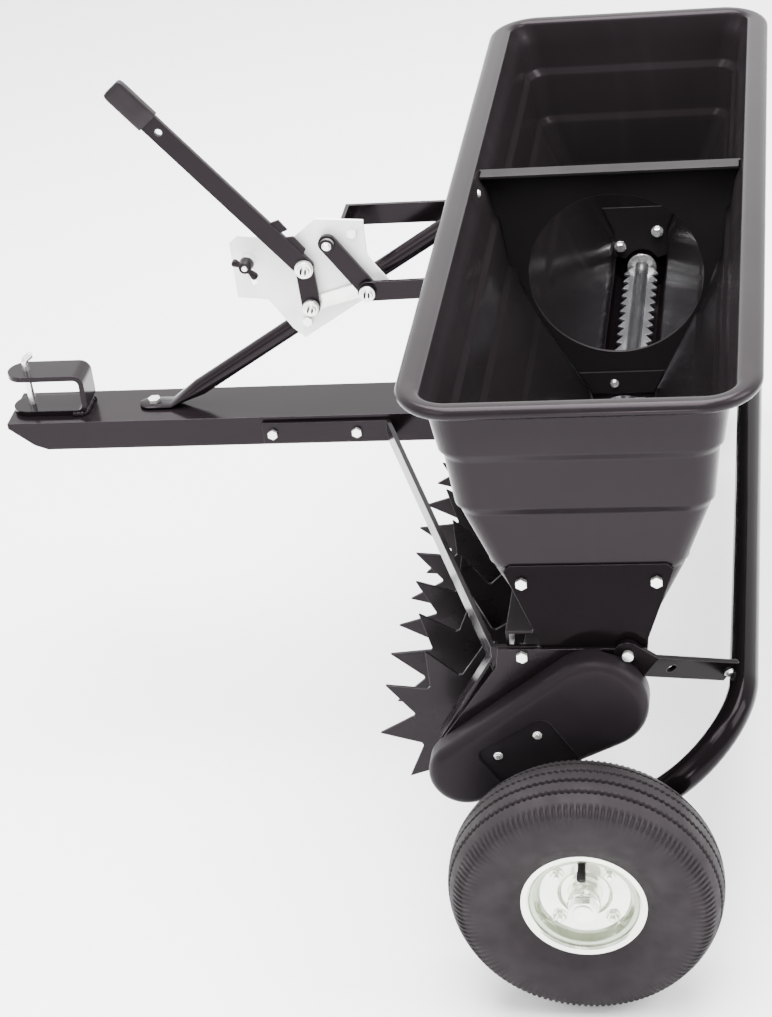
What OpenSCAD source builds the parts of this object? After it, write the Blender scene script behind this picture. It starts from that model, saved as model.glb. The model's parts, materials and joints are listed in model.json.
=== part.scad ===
// Tow behind spike aerator with a seed hopper.
// +X points to the rear, +Y to the machine's right side and +Z up, with the wheels standing on Z = 0.

/* [Hopper] */
// Length of the hopper over its rim, across the machine
hopper_l = 970; // [930:10:1060]
// Width of the hopper over its rim, along the tow direction
hopper_w = 327; // [315:1:345]
// Height of the rim above the agitator's axis
hopper_h = 319; // [310:1:330]
// Height of the rolled rim
rim_h = 13; // [11:1:16]
// Corner radius of the rolled rim
rim_corner = 58; // [48:1:62]
// Overhang of the rim beyond the hopper's end walls
rim_overhang = 15; // [12:1:20]
// Half width of the hopper just under its rim
mouth_half = 133; // [131:1:136]
// Half width of the hopper's lower edge
throat_half = 38; // [36:1:42]
// Wall thickness of the hopper
wall = 4; // [3:0.5:5]
// Depth of the moulded ledges
ledge = 5; // [3:0.5:6]
// Inward lean of each end wall over its height
end_lean = 16; // [12:1:20]
// Distance of the divider from the machine's centre plane
divider_y = 50; // [45:5:120]
// Width left beside the divider's round opening
divider_margin = 10.8; // [8:0.2:30]

/* [Frame] */
// Thickness of the end plates, the guides and the divider
sheet = 3; // [2:0.5:4]
// Thickness of the side plates
side_t = 4; // [3:0.5:5]
// Thickness of flat straps
strap_t = 5; // [4:0.5:6]
// Height of flat straps
strap_h = 25; // [22:1:28]
// Shank radius of the frame bolts
bolt_r = 3; // [2.5:0.5:4]
// Radial clearance of bolt holes
bolt_clear = 0.3; // [0.2:0.1:0.5]
// Clearance between pieces that are bolted together
seat = 0.2; // [0.1:0.05:0.3]
// Radial running clearance of turning joints
run = 0.05; // [0.03:0.01:0.08]
// Least clearance between pieces that move past each other
pass = 0.5; // [0.4:0.1:0.8]

/* [Tow bar] */
// Distance of the tow bar's tip from the hopper's centre plane
tow_reach = 682; // [640:1:720]
// Width of the channel
tow_w = 72; // [66:1:78]
// Height of the channel
tow_h = 34; // [32:1:38]
// Sheet thickness of the channel
tow_t = 3; // [2.5:0.5:4]
// Height of the channel's top above the agitator's axis
tow_rise = 67; // [64:1:70]
// Radius of the hitch pin
hitch_pin_r = 4; // [3.5:0.5:6]
// Clear gap between the arms of the clevis
hitch_gap = 37; // [30:1:42]

/* [Spikes and drive] */
// Height of the agitator's axis above the ground
agitator_z = 285; // [280:1:290]
// Distance of the spike axle ahead of the agitator
spike_ahead = 130; // [126:1:136]
// Drop of the spike axle below the agitator
spike_drop = 80; // [76:1:84]
// Radius over the star points
spike_r = 95; // [88:1:97]
// Number of points of a star wheel
spike_points = 10; // [8:1:12]
// Distance of the outer star wheels from the side plates
spike_inset = 57.4; // [50:0.2:70]
// Radius of the spike axle
axle_r = 9.5; // [8:0.5:11]
// Radius of the agitator's shaft
shaft_r = 8; // [7:0.5:9]
// Radius of the pulley on the spike axle
spike_pulley_r = 26; // [24:1:27]
// Radius of the pulley on the agitator
agitator_pulley_r = 21; // [19:1:22]
// Depth of the drive cover
cover_depth = 28; // [27:1:30]

/* [Wheels] */
// Outer radius of the tyres
tyre_r = 130; // [125:1:132]
// Width of the tyres
tyre_w = 86; // [78:1:90]
// Radius of the rims over their flanges
rim_r = 64.5; // [58:0.5:66]
// Clear distance between the rim of the hopper and the inner faces of the tyres
tyre_gap = 27; // [20:1:36]
// Distance of the wheel axle ahead of the hopper's centre plane
wheel_ahead = 14; // [8:1:20]
// Radius of the bent tube that carries the wheels
frame_tube_r = 14; // [12.5:0.5:15]
// Distance of the tube's cross run behind the hopper's centre plane
frame_behind = 135; // [132:1:142]
// Height of the tube's cross run above the wheel axle
frame_rise = 125; // [120:1:130]
// Bend radius of the tube
frame_bend = 88; // [80:1:92]

/* [Lever] */
// Length of the lever from its pivot to the end of its grip
lever_l = 277; // [250:1:300]
// Direction of the lever at rest, in degrees from the rear
lever_angle = 129.7; // [128:0.1:131]
// Width of the lever
lever_w = 21.5; // [19:0.5:24]
// Thickness of the lever and the crank
lever_t = 5; // [4:0.5:5]
// Length of the grip
grip_l = 52; // [45:1:60]
// Radius of the hole for a pull rope
rope_hole_r = 4; // [3:0.5:4.5]
// Radius of the control tube
control_tube_r = 9.5; // [9:0.5:10]

/* [Hidden] */
$fn = 48;

black = "#1c1a1c";
charcoal = "#2b2a2d";
zinc = "#c9cbc4";
rubber = "#262626";

// Heights and end planes that the pieces share
rim_z = agitator_z + hopper_h;
tow_top = agitator_z + tow_rise;
end_top = hopper_l / 2 - rim_overhang;
end_low = end_top - end_lean;
end_plate_y = end_low + seat;
side_y = end_plate_y + sheet + seat;
side_out = side_y + side_t;
strap_y = side_out + seat;

// Axes of the turning groups, as [x, z]
agitator = [0, agitator_z];
spiker = [-spike_ahead, agitator_z - spike_drop];
wheel = [-wheel_ahead, tyre_r];
transport = [32, agitator_z + 46];
cross_run = [frame_behind, wheel[1] + frame_rise];

// The origin lies under the middle of the machine's length
tow_tip = -tow_reach;
origin_shift = -(tow_tip + hopper_w / 2) / 2;

// Heights, widths and slopes that several pieces meet
trough_drop = 33;
trough_z = agitator_z - trough_drop;
tow_half = tow_w / 2;
tube_low = [-470, tow_top + 17];
tube_high = [-163, tow_top + 209];
tube_slope = atan2(tube_high[1] - tube_low[1], tube_high[0] - tube_low[0]);

// Point of the control tube's axis at one x
function on_tube(x) = [x, tube_low[1] + (x - tube_low[0]) * tan(tube_slope)];

// Linkage: pivots as [x, z] and the layers of the bars, near side first
lever_pivot = [-323, tow_top + 172];
arm_pin = lever_pivot + [2, -45.5];
crank_pivot = lever_pivot + [28, 27];
crank_pin = lever_pivot + [66, -28];
rocker_pin = [-mouth_half - 17, lever_pivot[1] - 26];
rocker_pivot = [-112, tow_top - 17];
gate_pin = [-52, trough_z - 2];
stop_radius = 62;
stop_angle = 172;
stop_travel = 25;
pivot_r = 6;
pin_r = 4;
link_slack = 0.7;
bar_slack = 1.1;
plate_y = -control_tube_r - seat - sheet;
link_t = 3;
link_y = plate_y - pass - 0.8 - link_t;
lever_y = link_y - pass - 0.5 - lever_t;
bar_t = 4;
bar_y = lever_y - pass - bar_t;
rocker_y = -tow_half - 5 - bar_t;
pivot_head = 4;
plate_bolt = on_tube(-329);
stop_at = lever_pivot + stop_radius * [cos(stop_angle), sin(stop_angle)];
bar_w = 20;

// Basic shapes in the machine's own planes

module plate(y0, t) {
    translate([0, y0 + t, 0]) rotate([90, 0, 0]) linear_extrude(t) children();
}

module rod_y(p, y0, y1, r) {
    translate([p[0], y1, p[1]]) rotate([90, 0, 0]) cylinder(r = r, h = y1 - y0);
}

module hole_y(p, r) {
    rod_y(p, -hopper_l, hopper_l, r);
}

module block(x0, x1, y0, y1, z0, z1) {
    translate([x0, y0, z0]) cube([x1 - x0, y1 - y0, z1 - z0]);
}

module spot(p, r) {
    translate(p) circle(r = r);
}

// Flat bar with round ends between two points of one plane
module bar(p, q, w) {
    hull() {
        spot(p, w / 2);
        spot(q, w / 2);
    }
}

module mirrored(right) {
    mirror([0, right ? 1 : 0, 0]) children();
}

module on_both_sides() {
    children();
    mirror([0, 1, 0]) children();
}

// Hex head against the plane y0, facing -Y, with a shank and a nut behind the grip
head_h = 4.2;
head_r = 5.8;
nut_h = 5;
hole_r = bolt_r + bolt_clear;

module bolt_y(p, y0, grip) {
    translate([p[0], y0, p[1]]) rotate([90, 30, 0]) cylinder(r = head_r, h = head_h, $fn = 6);
    rod_y(p, y0, y0 + grip + nut_h + 2, bolt_r);
    difference() {
        translate([p[0], y0 + grip + nut_h, p[1]]) rotate([90, 0, 0])
            cylinder(r = head_r, h = nut_h, $fn = 6);
        hole_y(p, bolt_r);
    }
}

// Hopper: rings of rounded rectangles, up the outside, over the rim and down the inside
corner_steps = 7;
throat_z = agitator_z + 11;
ledge_z = [throat_z + 124, throat_z + 187, throat_z + 246];
ledge_half = [mouth_half - 43, mouth_half - 17, mouth_half - 6.5];
lean_z = throat_z + 144;
ledge_slope = 3;
throat_corner = 12;
mouth_corner = rim_corner / 2;
mouth_flare = 6;
wall_bite = 2.5;
flare_z = rim_z - 32;

function blend(a, b, t) = a + (b - a) * t;
function end_half(z) = blend(end_low, end_top, max(0, (z - lean_z) / (rim_z - lean_z)));
function ring(z, hx, hy, r) = [
    for (q = [0:3], i = [0:corner_steps])
        let (a = 90 * q + 90 * i / corner_steps,
             sx = (q == 0 || q == 3) ? 1 : -1,
             sy = q < 2 ? 1 : -1)
            [sx * (hx - r) + r * cos(a), sy * (hy - r) + r * sin(a), z]
];
function corner(z) = blend(throat_corner, mouth_corner, (z - throat_z) / (rim_z - throat_z));
function wall_ring(z, half, inset) = ring(z, half - inset, end_half(z) - inset, corner(z) - inset);

// Outer half widths of the wall, lowest first, as [z, half]
function ledge_step(i, s) = [ledge_z[i] + s * ledge_slope, ledge_half[i] + s * ledge / 2];
lean_half = lookup(lean_z, [ledge_step(0, 1), ledge_step(1, -1)]);
wall_steps = concat(
    [[throat_z, throat_half], [throat_z + 30, throat_half + 3]],
    [ledge_step(0, -1), ledge_step(0, 1), [lean_z, lean_half]],
    [for (i = [1, 2], s = [-1, 1]) ledge_step(i, s)],
    [[flare_z, mouth_half], [rim_z - rim_h + 4, mouth_half + mouth_flare + wall - 1]]
);
// Rolled rim: share of the way from the outer edge to the mouth, and drop below the top
rim_steps = [[0.3, 1], [0.1, 0.86], [0.02, 0.66], [0, 0.46], [0.05, 0.22], [0.16, 0.06], [0.34, 0],
             [0.6, 0], [0.84, 0.06], [0.96, 0.2], [1, 0.45]];

function rim_ring(s, drop) = ring(
    rim_z - drop * rim_h,
    blend(hopper_w / 2, mouth_half + mouth_flare, s),
    blend(hopper_l / 2, end_top - wall, s),
    blend(rim_corner, corner(rim_z) - wall, s)
);
function wall_half(z) = lookup(z, wall_steps);

module hopper() {
    outer = [for (w = wall_steps) wall_ring(w[0], w[1], 0)];
    rim = [for (s = rim_steps) rim_ring(s[0], s[1])];
    count = len(wall_steps);
    inner = [for (i = [count - 2:-1:0]) wall_ring(wall_steps[i][0], wall_steps[i][1], wall)];
    rings = concat(outer, rim, inner);
    n = len(rings[0]);
    m = len(rings);
    sides = [
        for (j = [0:m - 1], i = [0:n - 1])
            let (next = (i + 1) % n,
                 above = ((j + 1) % m) * n,
                 a = j * n + i,
                 b = j * n + next,
                 c = above + next,
                 d = above + i)
                [[a, d, c], [a, c, b]]
    ];
    color(charcoal) difference() {
        polyhedron(points = [for (r = rings, p = r) p], faces = [for (s = sides, f = s) f]);
        for (x = end_bolt_x) hole_y([x, end_bolt_z], hole_r);
        for (p = [strap_pad_bolt, tube_pad_bolt])
            translate([-hopper_w, p[0], p[1]]) rotate([0, 90, 0])
                cylinder(r = hole_r, h = hopper_w - wall_half(p[1]) + wall_bite);
    }
}

// Divider: follows the inside of the hopper
divider_gap = 0.3;
divider_flange = 16;
divider_top = rim_z - 9;
divider_hole_z = lean_z + 28;
divider_hole_r = wall_half(divider_hole_z) - wall - divider_gap - divider_margin;
divider_low = throat_z + 20;
agitator_sweep = 29;

module divider_outline() {
    inset = wall + divider_gap;
    steps = [for (i = [1:len(wall_steps) - 2]) wall_steps[i]];
    side = concat(
        [[throat_half - inset, divider_low]],
        [for (w = steps) [w[1] - inset, w[0]]],
        [[mouth_half + mouth_flare - 2 - divider_gap, divider_top]]
    );
    count = len(side);
    polygon(concat(side, [for (i = [count - 1:-1:0]) [-side[i][0], side[i][1]]]));
}

module hopper_divider() {
    half = mouth_half + mouth_flare - 4;
    color(black) {
        difference() {
            plate(divider_y, sheet) divider_outline();
            hole_y([0, divider_hole_z], divider_hole_r);
            hole_y(agitator, agitator_sweep + 5);
        }
        block(-half, half, divider_y - divider_flange, divider_y, divider_top - sheet, divider_top);
    }
}

// Flanged trough under the hopper, with the row of metering holes
trough_half = throat_half - wall - seat;
trough_t = 2;
trough_flat = 22;
trough_knee = trough_z + 20;
trough_top = throat_z - seat;
trough_flange = 12;
meter_r = 3.5;
meter_count = 10;
meter_pitch = (end_low - 54) / meter_count;

module trough_outline(inset, top) {
    half = trough_half - inset;
    flat = trough_flat - inset / 2;
    base = trough_z + inset;
    polygon([[-half, top], [-half, trough_knee], [-flat, base],
             [flat, base], [half, trough_knee], [half, top]]);
}

module meter_row(x) {
    for (i = [-meter_count:meter_count])
        translate([x, i * meter_pitch, trough_z - 10]) cylinder(r = meter_r, h = 20, $fn = 24);
}

module bottom_plate() {
    brim = trough_half + trough_flange;
    color(black) difference() {
        plate(-end_low, 2 * end_low) difference() {
            union() {
                trough_outline(0, trough_top);
                translate([-brim, trough_top - trough_t]) square([2 * brim, trough_t]);
            }
            trough_outline(trough_t, trough_top + 1);
        }
        meter_row(0);
    }
}

// Sliding gate under the trough
gate_t = 2;
gate_half = 30;
gate_top = trough_z - pass;
gate_l = end_low - 22;
gate_stroke = 7.7;
gate_ear_t = 3;
ear_y = -49.5;
ear_half = 10;
ear_drop = 16;
ear_slot_r = pin_r + 0.3;

module gate_plate() {
    color(zinc) {
        difference() {
            block(-gate_half, gate_half, -gate_l, gate_l, gate_top - gate_t, gate_top);
            meter_row(gate_stroke);
        }
        plate(ear_y, gate_ear_t) difference() {
            polygon([[-gate_half, gate_top], gate_pin + [ear_half, ear_half],
                     gate_pin + [-ear_half, ear_half], gate_pin - [ear_half, ear_drop],
                     gate_pin + [ear_half, -ear_drop], [-gate_half, gate_top - gate_t]]);
            bar(gate_pin + [0, 1], gate_pin - [0, 6], 2 * ear_slot_r);
        }
    }
}

module gate_guides() {
    shelf_z = gate_top - gate_t - pass;
    color(black) on_both_sides() {
        block(-gate_half, gate_half, -end_low, -gate_l + 15, shelf_z - sheet, shelf_z);
        block(-gate_half, gate_half, -end_low, -end_low + sheet, shelf_z, trough_z - seat);
    }
}

// End plates on the hopper and side plates of the frame
end_bolt_x = [-62, 62];
end_nut_gap = 0.8;
end_bolt_z = lean_z - 34;
end_plate_top = lean_z - 16;
end_plate_low = trough_z - 10;
end_plate_half = 78;
end_plate_waist = 51;
end_plate_cut = 6;
bearing_wall = 4;
spiker_bearing_r = axle_r + run + bearing_wall;
agitator_bearing_r = shaft_r + run + bearing_wall;

module end_plate(right) {
    color(black) mirrored(right) difference() {
        plate(-end_plate_y - sheet, sheet) {
            top = end_plate_half;
            cut = end_plate_cut;
            foot = trough_half + cut;
            waist_z = tow_top - 10;
            polygon([[-top, end_plate_top - cut], [cut - top, end_plate_top], [top - cut, end_plate_top],
                     [top, end_plate_top - cut], [end_plate_waist, waist_z], [foot, throat_z],
                     [foot, end_plate_low], [-foot, end_plate_low], [-foot, throat_z],
                     [-end_plate_waist, waist_z]]);
        }
        for (x = end_bolt_x) hole_y([x, end_bolt_z], hole_r);
        hole_y(agitator, agitator_bearing_r + seat);
    }
}

module end_plate_left() end_plate(false);
module end_plate_right() end_plate(true);

side_top = agitator_z + 49;
side_front = -90;
side_rear = transport[0] + 10;
side_lobe = 33;
side_ear = 11;

module side_outline() {
    spot(spiker, side_lobe);
    spot(transport, side_ear);
    along = side_lobe * 0.92;
    across = side_lobe * 0.4;
    polygon([[side_front, side_top], [side_front - 3, side_top - 20], spiker + [-along, across],
             spiker + [across, -along], agitator + [32, -28], [side_rear, transport[1] - 20],
             [side_rear, side_top]]);
}

module side_plate(right) {
    color(black) mirrored(right) difference() {
        plate(-side_out, side_t) side_outline();
        hole_y(spiker, spiker_bearing_r + seat);
        hole_y(agitator, agitator_bearing_r + seat);
        hole_y(foot_bolt, hole_r);
        hole_y(transport, transport_pin_r + seat);
        if (!right) for (p = cover_screw_at) hole_y(p, screw_r + bolt_clear);
    }
}

module side_plate_left() side_plate(false);
module side_plate_right() side_plate(true);

// Cross rail behind the tow bar's flanges
rail_front = -82;
rail_rear = -57;
rail_low = tow_top - 36;
rail_top = tow_top - tow_t - seat;
rail_l = side_y - strap_t - 2 * seat;
rail_bolt_x = -69;
rail_bolt_y = 20;

module front_rail() {
    color(black) difference() {
        union() {
            block(rail_front, rail_front + sheet, -rail_l, rail_l, rail_low, rail_top);
            block(rail_front, rail_rear, -rail_l, rail_l, rail_top - sheet, rail_top);
        }
        for (y = [-rail_bolt_y, rail_bolt_y])
            translate([rail_bolt_x, y, rail_low]) cylinder(r = hole_r, h = tow_h + 20);
    }
}

// Tow bar: inverted channel whose flanges stop ahead of the rail
brace_bolt_x = [-379, -285];
brace_z = tow_top - 18;
foot_bolt = [-67, brace_z - 7];
foot_x = -519;

module tow_bar() {
    flange_end = rail_front - 1;
    low = tow_top - tow_h;
    under = tow_top - tow_t;
    color(black) difference() {
        union() {
            block(tow_tip, rail_rear - 1, -tow_half, tow_half, tow_top - tow_t, tow_top);
            on_both_sides() plate(-tow_half, tow_t)
                polygon([[tow_tip, under], [tow_tip, under - tow_t], [tow_tip + 27, low + 6],
                         [tow_tip + 42, low], [flange_end, low], [flange_end, under]]);
        }
        translate([foot_x, 0, tow_top - 20]) cylinder(r = hole_r, h = 40);
        translate([hitch_x, 0, tow_top - 20]) cylinder(r = hitch_pin_r + hitch_clear, h = 40);
        for (x = brace_bolt_x) hole_y([x, brace_z], hole_r);
        rod_y(rocker_pivot, -tow_w, 0, pivot_r + seat);
        for (y = [-rail_bolt_y, rail_bolt_y])
            translate([rail_bolt_x, y, tow_top - 20]) cylinder(r = hole_r, h = 40);
    }
}

// Clevis of bent strap, open to the front, and the loose pin of the hitch
clevis_w = 39;
clevis_t = 6;
clevis_bend = 12;
clevis_back = -591;
hitch_x = tow_tip + 22;
hitch_clear = 0.4;
clevis_base = tow_top + seat;
clevis_top = clevis_base + hitch_gap + 2 * clevis_t;

// Side view of the bent strap, inside a distance from its outer face
module clevis_loop(inset, front) {
    low = clevis_base + inset;
    high = clevis_top - inset;
    hull() {
        translate([front, low]) square([1, high - low]);
        for (z = [clevis_base + clevis_bend, clevis_top - clevis_bend])
            spot([clevis_back - clevis_bend, z], clevis_bend - inset);
    }
}

module hitch_clevis() {
    half = clevis_w / 2;
    nose = hitch_x - 2;
    color(black) difference() {
        union() {
            plate(-half, clevis_w) difference() {
                clevis_loop(0, nose);
                clevis_loop(clevis_t, nose - 1);
            }
            for (z = [clevis_base, clevis_top - clevis_t])
                translate([nose, 0, z]) cylinder(r = half - seat, h = clevis_t);
        }
        translate([hitch_x, 0, clevis_base - 1]) cylinder(r = hitch_pin_r + hitch_clear, h = 2 * hitch_gap);
    }
}

pin_rise = 12;
pin_drop = 22;
pin_hook = 14;

module hitch_pin() {
    top = clevis_top + pin_rise;
    color(zinc) translate([hitch_x, 0, 0]) {
        translate([0, 0, tow_top - pin_drop]) cylinder(r = hitch_pin_r, h = top - tow_top + pin_drop);
        translate([0, 0, top]) sphere(r = hitch_pin_r);
        translate([0, 0, top]) rotate([0, 55, 20]) cylinder(r = hitch_pin_r - 1, h = pin_hook);
    }
}

// Braces from the channel to the side plates
brace_start = -388;
brace_knee = -250;
brace_end_x = -95;
brace_foot = -55;

// Flat strap on edge between two points, as [x, y], with its middle at z = 0
module strap_leg(a, b) {
    hull() {
        for (p = [a, b])
            translate([p[0], p[1], -strap_h / 2]) cylinder(r = strap_t / 2, h = strap_h, $fn = 20);
    }
}

module tow_brace(right) {
    inner = -tow_half - seat - strap_t / 2;
    outer = -side_y + seat + strap_t / 2;
    color(black) mirrored(right) difference() {
        translate([0, 0, brace_z]) {
            strap_leg([brace_start, inner], [brace_knee, inner]);
            strap_leg([brace_knee, inner], [brace_end_x, outer]);
            strap_leg([brace_end_x, outer], [brace_foot, outer]);
        }
        for (x = brace_bolt_x) hole_y([x, brace_z], hole_r);
        rod_y(foot_bolt, -side_out, -side_y + 2 * strap_t, hole_r);
    }
}

module tow_brace_left() tow_brace(false);
module tow_brace_right() tow_brace(true);

// Control tube: flattened foot, sloping run and a level end with a tongue against the hopper
tube_pad = 4;
tube_pad_half = 14;
tube_foot_t = 4;
tube_foot_half = 13;
tube_pad_x = -wall_half(tube_high[1] + tube_pad_half) - seat;
tube_tongue = 34;
tube_step = 0.3;
// Bolt through the tongue, as [y, z]
tube_pad_bolt = [0, tube_high[1] - 23];

module control_tube() {
    foot_rear = foot_x + 22;
    foot_top = clevis_base + tube_foot_t;
    foot = tube_foot_half;
    color(black) difference() {
        union() {
            hull() {
                translate([foot_x - 4, 0, clevis_base]) cylinder(r = foot, h = tube_foot_t);
                block(foot_rear - 1, foot_rear, -foot, foot, clevis_base, foot_top);
            }
            hull() {
                block(foot_rear - 1, foot_rear, -foot, foot, clevis_base, foot_top);
                translate([tube_low[0], 0, tube_low[1]]) rotate([0, 90 - tube_slope, 0])
                    cylinder(r = control_tube_r - tube_step, h = 1, $fn = 32);
            }
            translate([tube_low[0], 0, tube_low[1]]) rotate([0, 90 - tube_slope, 0])
                cylinder(r = control_tube_r, h = norm(tube_high - tube_low));
            translate([tube_high[0], 0, tube_high[1]]) sphere(r = control_tube_r + tube_step);
            translate([tube_high[0], 0, tube_high[1]]) rotate([0, 90, 0])
                cylinder(r = control_tube_r, h = tube_pad_x - tube_high[0] - 1);
            block(tube_pad_x - tube_pad, tube_pad_x, -tube_pad_half, tube_pad_half,
                  tube_high[1] - tube_tongue, tube_high[1] + tube_pad_half);
        }
        translate([foot_x, 0, tow_top - 1]) cylinder(r = hole_r, h = 3 * tube_foot_t);
        hole_y(plate_bolt, hole_r);
        translate([tube_pad_x - 2 * tube_pad, tube_pad_bolt[0], tube_pad_bolt[1]]) rotate([0, 90, 0])
            cylinder(r = hole_r, h = 3 * tube_pad);
    }
}

// Strap from the hopper to the upper edge of the control plate
control_strap_y = 33;
strap_t_control = 4;
strap_z = rim_z - 45;
strap_low = strap_z - strap_h / 2;
strap_high = strap_z + strap_h / 2 - 2;
strap_front = -282;
strap_rear = -wall_half(strap_high) - seat;
strap_flange = 22;
strap_pad_w = 18;
strap_front_bolt = [strap_front + 13, strap_z];
// Bolt through the strap's rear pad, as [y, z]
strap_pad_bolt = [control_strap_y - 9.5, strap_z];

module control_strap() {
    t = strap_t_control;
    y0 = control_strap_y;
    y1 = y0 + t;
    front_y = plate_y + sheet + seat;
    color(black) difference() {
        union() {
            block(strap_front, strap_rear, y0, y1, strap_low, strap_high);
            block(strap_rear - t, strap_rear, y0 - strap_pad_w, y1, strap_low, strap_high);
            block(strap_front, strap_front + t, front_y, y1, strap_low, strap_high);
            block(strap_front, strap_front + strap_flange, front_y, front_y + t, strap_low, strap_high);
        }
        rod_y(strap_front_bolt, front_y - 1, front_y + t + 1, hole_r);
        translate([strap_rear - 2 * t, strap_pad_bolt[0], strap_pad_bolt[1]]) rotate([0, 90, 0])
            cylinder(r = hole_r, h = 3 * t);
    }
}

// Curved slot of the lever's stop, round the lever's pivot, with room for the bolt at both ends
slot_room = asin((hole_r + 0.5) / stop_radius);
slot_step = (stop_travel + 2 * slot_room) / 12;
slot_angles = [for (i = [0:12]) stop_angle - slot_room + i * slot_step];

function arc(angles, r) = [for (a = angles) lever_pivot + r * [cos(a), sin(a)]];

module stop_slot() {
    polygon(concat(arc(slot_angles, stop_radius + hole_r), reversed(arc(slot_angles, stop_radius - hole_r))));
}

module control_plate() {
    a = lever_pivot;
    right = strap_front + 26;
    color(zinc) difference() {
        plate(plate_y, sheet) difference() {
            polygon([a + [-79, -36], a + [-46, -40], on_tube(-346) + [0, 2], on_tube(-334) - [0, 17],
                     on_tube(-234) - [0, 17], on_tube(-249) + [0, 13], [right, strap_z - 26],
                     [right, strap_z + 13], a + [16, 52], a + [-12, 30], a + [-70, 36], a + [-80, 28]]);
            stop_slot();
        }
        hole_y(lever_pivot, pivot_r - 1);
        hole_y(crank_pivot, pin_r);
        hole_y(plate_bolt, hole_r);
        hole_y(strap_front_bolt, hole_r);
    }
}

function along_lever(s) = lever_pivot + s * [cos(lever_angle), sin(lever_angle)];

rope_at = lever_l - grip_l - 15;

module control_lever() {
    color(black) difference() {
        plate(lever_y, lever_t) {
            bar(lever_pivot, arm_pin, bar_w);
            hull() {
                spot(lever_pivot, lever_w / 2);
                translate(lever_pivot) rotate(lever_angle)
                    translate([lever_l - grip_l, -lever_w / 2]) square([grip_l - 4, lever_w]);
            }
        }
        hole_y(lever_pivot, pivot_r + run);
        hole_y(arm_pin, pin_r + run);
        hole_y(along_lever(rope_at), rope_hole_r);
    }
}

grip_wall = 2.5;

module lever_grip() {
    width = lever_w + 2 * grip_wall;
    color(rubber) difference() {
        plate(lever_y - grip_wall, lever_t + 2 * grip_wall)
            translate(lever_pivot) rotate(lever_angle)
                translate([lever_l - grip_l, -width / 2]) square([grip_l, width]);
        plate(lever_y - seat / 2, lever_t + seat)
            translate(lever_pivot) rotate(lever_angle)
                translate([0, -lever_w / 2 - seat / 2]) square([lever_l - 4 + seat, lever_w + seat]);
    }
}

// Link with its own pin through the lever's arm
module control_link() {
    color(zinc) {
        difference() {
            plate(link_y, link_t) bar(arm_pin, crank_pin, 16);
            hole_y(crank_pin, pin_r + link_slack);
        }
        rod_y(arm_pin, lever_y - pass, link_y, pin_r);
        rod_y(arm_pin, lever_y - pass - pivot_head, lever_y - pass, 9);
    }
}

module control_crank() {
    color(black) {
        difference() {
            plate(lever_y, lever_t) bar(crank_pivot, crank_pin, bar_w);
            hole_y(crank_pivot, pin_r + run);
        }
        rod_y(crank_pin, lever_y + lever_t, link_y + link_t + 0.3, pin_r);
        rod_y(crank_pin, bar_y - pass, lever_y, pin_r);
        rod_y(crank_pin, bar_y - pass - pivot_head, bar_y - pass, 9);
    }
}

module pull_bar() {
    color(black) plate(bar_y, bar_t) difference() {
        bar(crank_pin, rocker_pin, 22);
        spot(crank_pin, pin_r + run);
        spot(rocker_pin, pin_r + bar_slack);
    }
}

module gate_rocker() {
    color(black) {
        difference() {
            plate(rocker_y, bar_t) {
                bar(rocker_pin, rocker_pivot, 22);
                bar(rocker_pivot, gate_pin, 22);
            }
            hole_y(rocker_pivot, pivot_r + run);
        }
        rod_y(rocker_pin, rocker_y + bar_t, bar_y + bar_t + 2, pin_r);
        rod_y(gate_pin, ear_y - 1.5, rocker_y, pin_r);
    }
}

// Shoulder bolts of the lever, the crank and the rocker
module control_pivots() {
    front = lever_y - pass;
    color(zinc) {
        rod_y(lever_pivot, front, plate_y - pass, pivot_r);
        rod_y(lever_pivot, plate_y - pass, plate_y + sheet, pivot_r - 1);
        rod_y(lever_pivot, front - pivot_head, front, 10);
        rod_y(crank_pivot, front, plate_y + sheet, pin_r);
        rod_y(crank_pivot, front - pivot_head, front, 7.5);
        rod_y(rocker_pivot, rocker_y - pass, -tow_half + tow_t, pivot_r);
        rod_y(rocker_pivot, rocker_y - pass - pivot_head, rocker_y - pass, 10);
        rod_y(rocker_pivot, rocker_y + bar_t + pass, -tow_half - seat, 10);
        rod_y(rocker_pivot, -tow_half + tow_t + seat, -tow_half + tow_t + nut_h, 10);
    }
}

// Adjustable stop with its wing nut
module stop_bolt() {
    color(zinc) {
        rod_y(stop_at, plate_y + sheet + 0.4, plate_y + sheet + 3.4, 8);
        rod_y(stop_at, lever_y - 14, plate_y + sheet + 0.4, bolt_r);
        difference() {
            rod_y(stop_at, lever_y, plate_y - 0.4, 8);
            rod_y(stop_at, lever_y, plate_y, bolt_r);
        }
    }
}

module wing_nut() {
    near = lever_y - 10;
    far = lever_y - 0.5;
    color(zinc) difference() {
        union() {
            rod_y(stop_at, near, far, 7.5);
            for (s = [-1, 1])
                plate(near - 3, 10) bar(stop_at + s * [5, -4], stop_at + s * [13, -10], 6);
        }
        hole_y(stop_at, bolt_r + run);
    }
}

// Spike axle with its star wheels
wheel_count = 11;
spike_t = 3;
spacer_r = 13;
valley_r = spike_r * 0.62;
pulley_y = -side_out - 9;
pulley_w = 12;

spike_pitch = 2 * (side_y - spike_inset) / (wheel_count - 1);

function spike_y(i) = (i - (wheel_count - 1) / 2) * spike_pitch;

// One valley and the point after it
function spike_outline() = [
    for (i = [0:spike_points - 1])
        let (step = 360 / spike_points, a = i * step)
            each [spike_r * [cos(a), sin(a)],
                  (valley_r + 5) * [cos(a + step * 0.36), sin(a + step * 0.36)],
                  valley_r * [cos(a + step * 0.46), sin(a + step * 0.46)],
                  valley_r * [cos(a + step * 0.56), sin(a + step * 0.56)],
                  (valley_r + 5) * [cos(a + step * 0.66), sin(a + step * 0.66)]]
];

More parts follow.
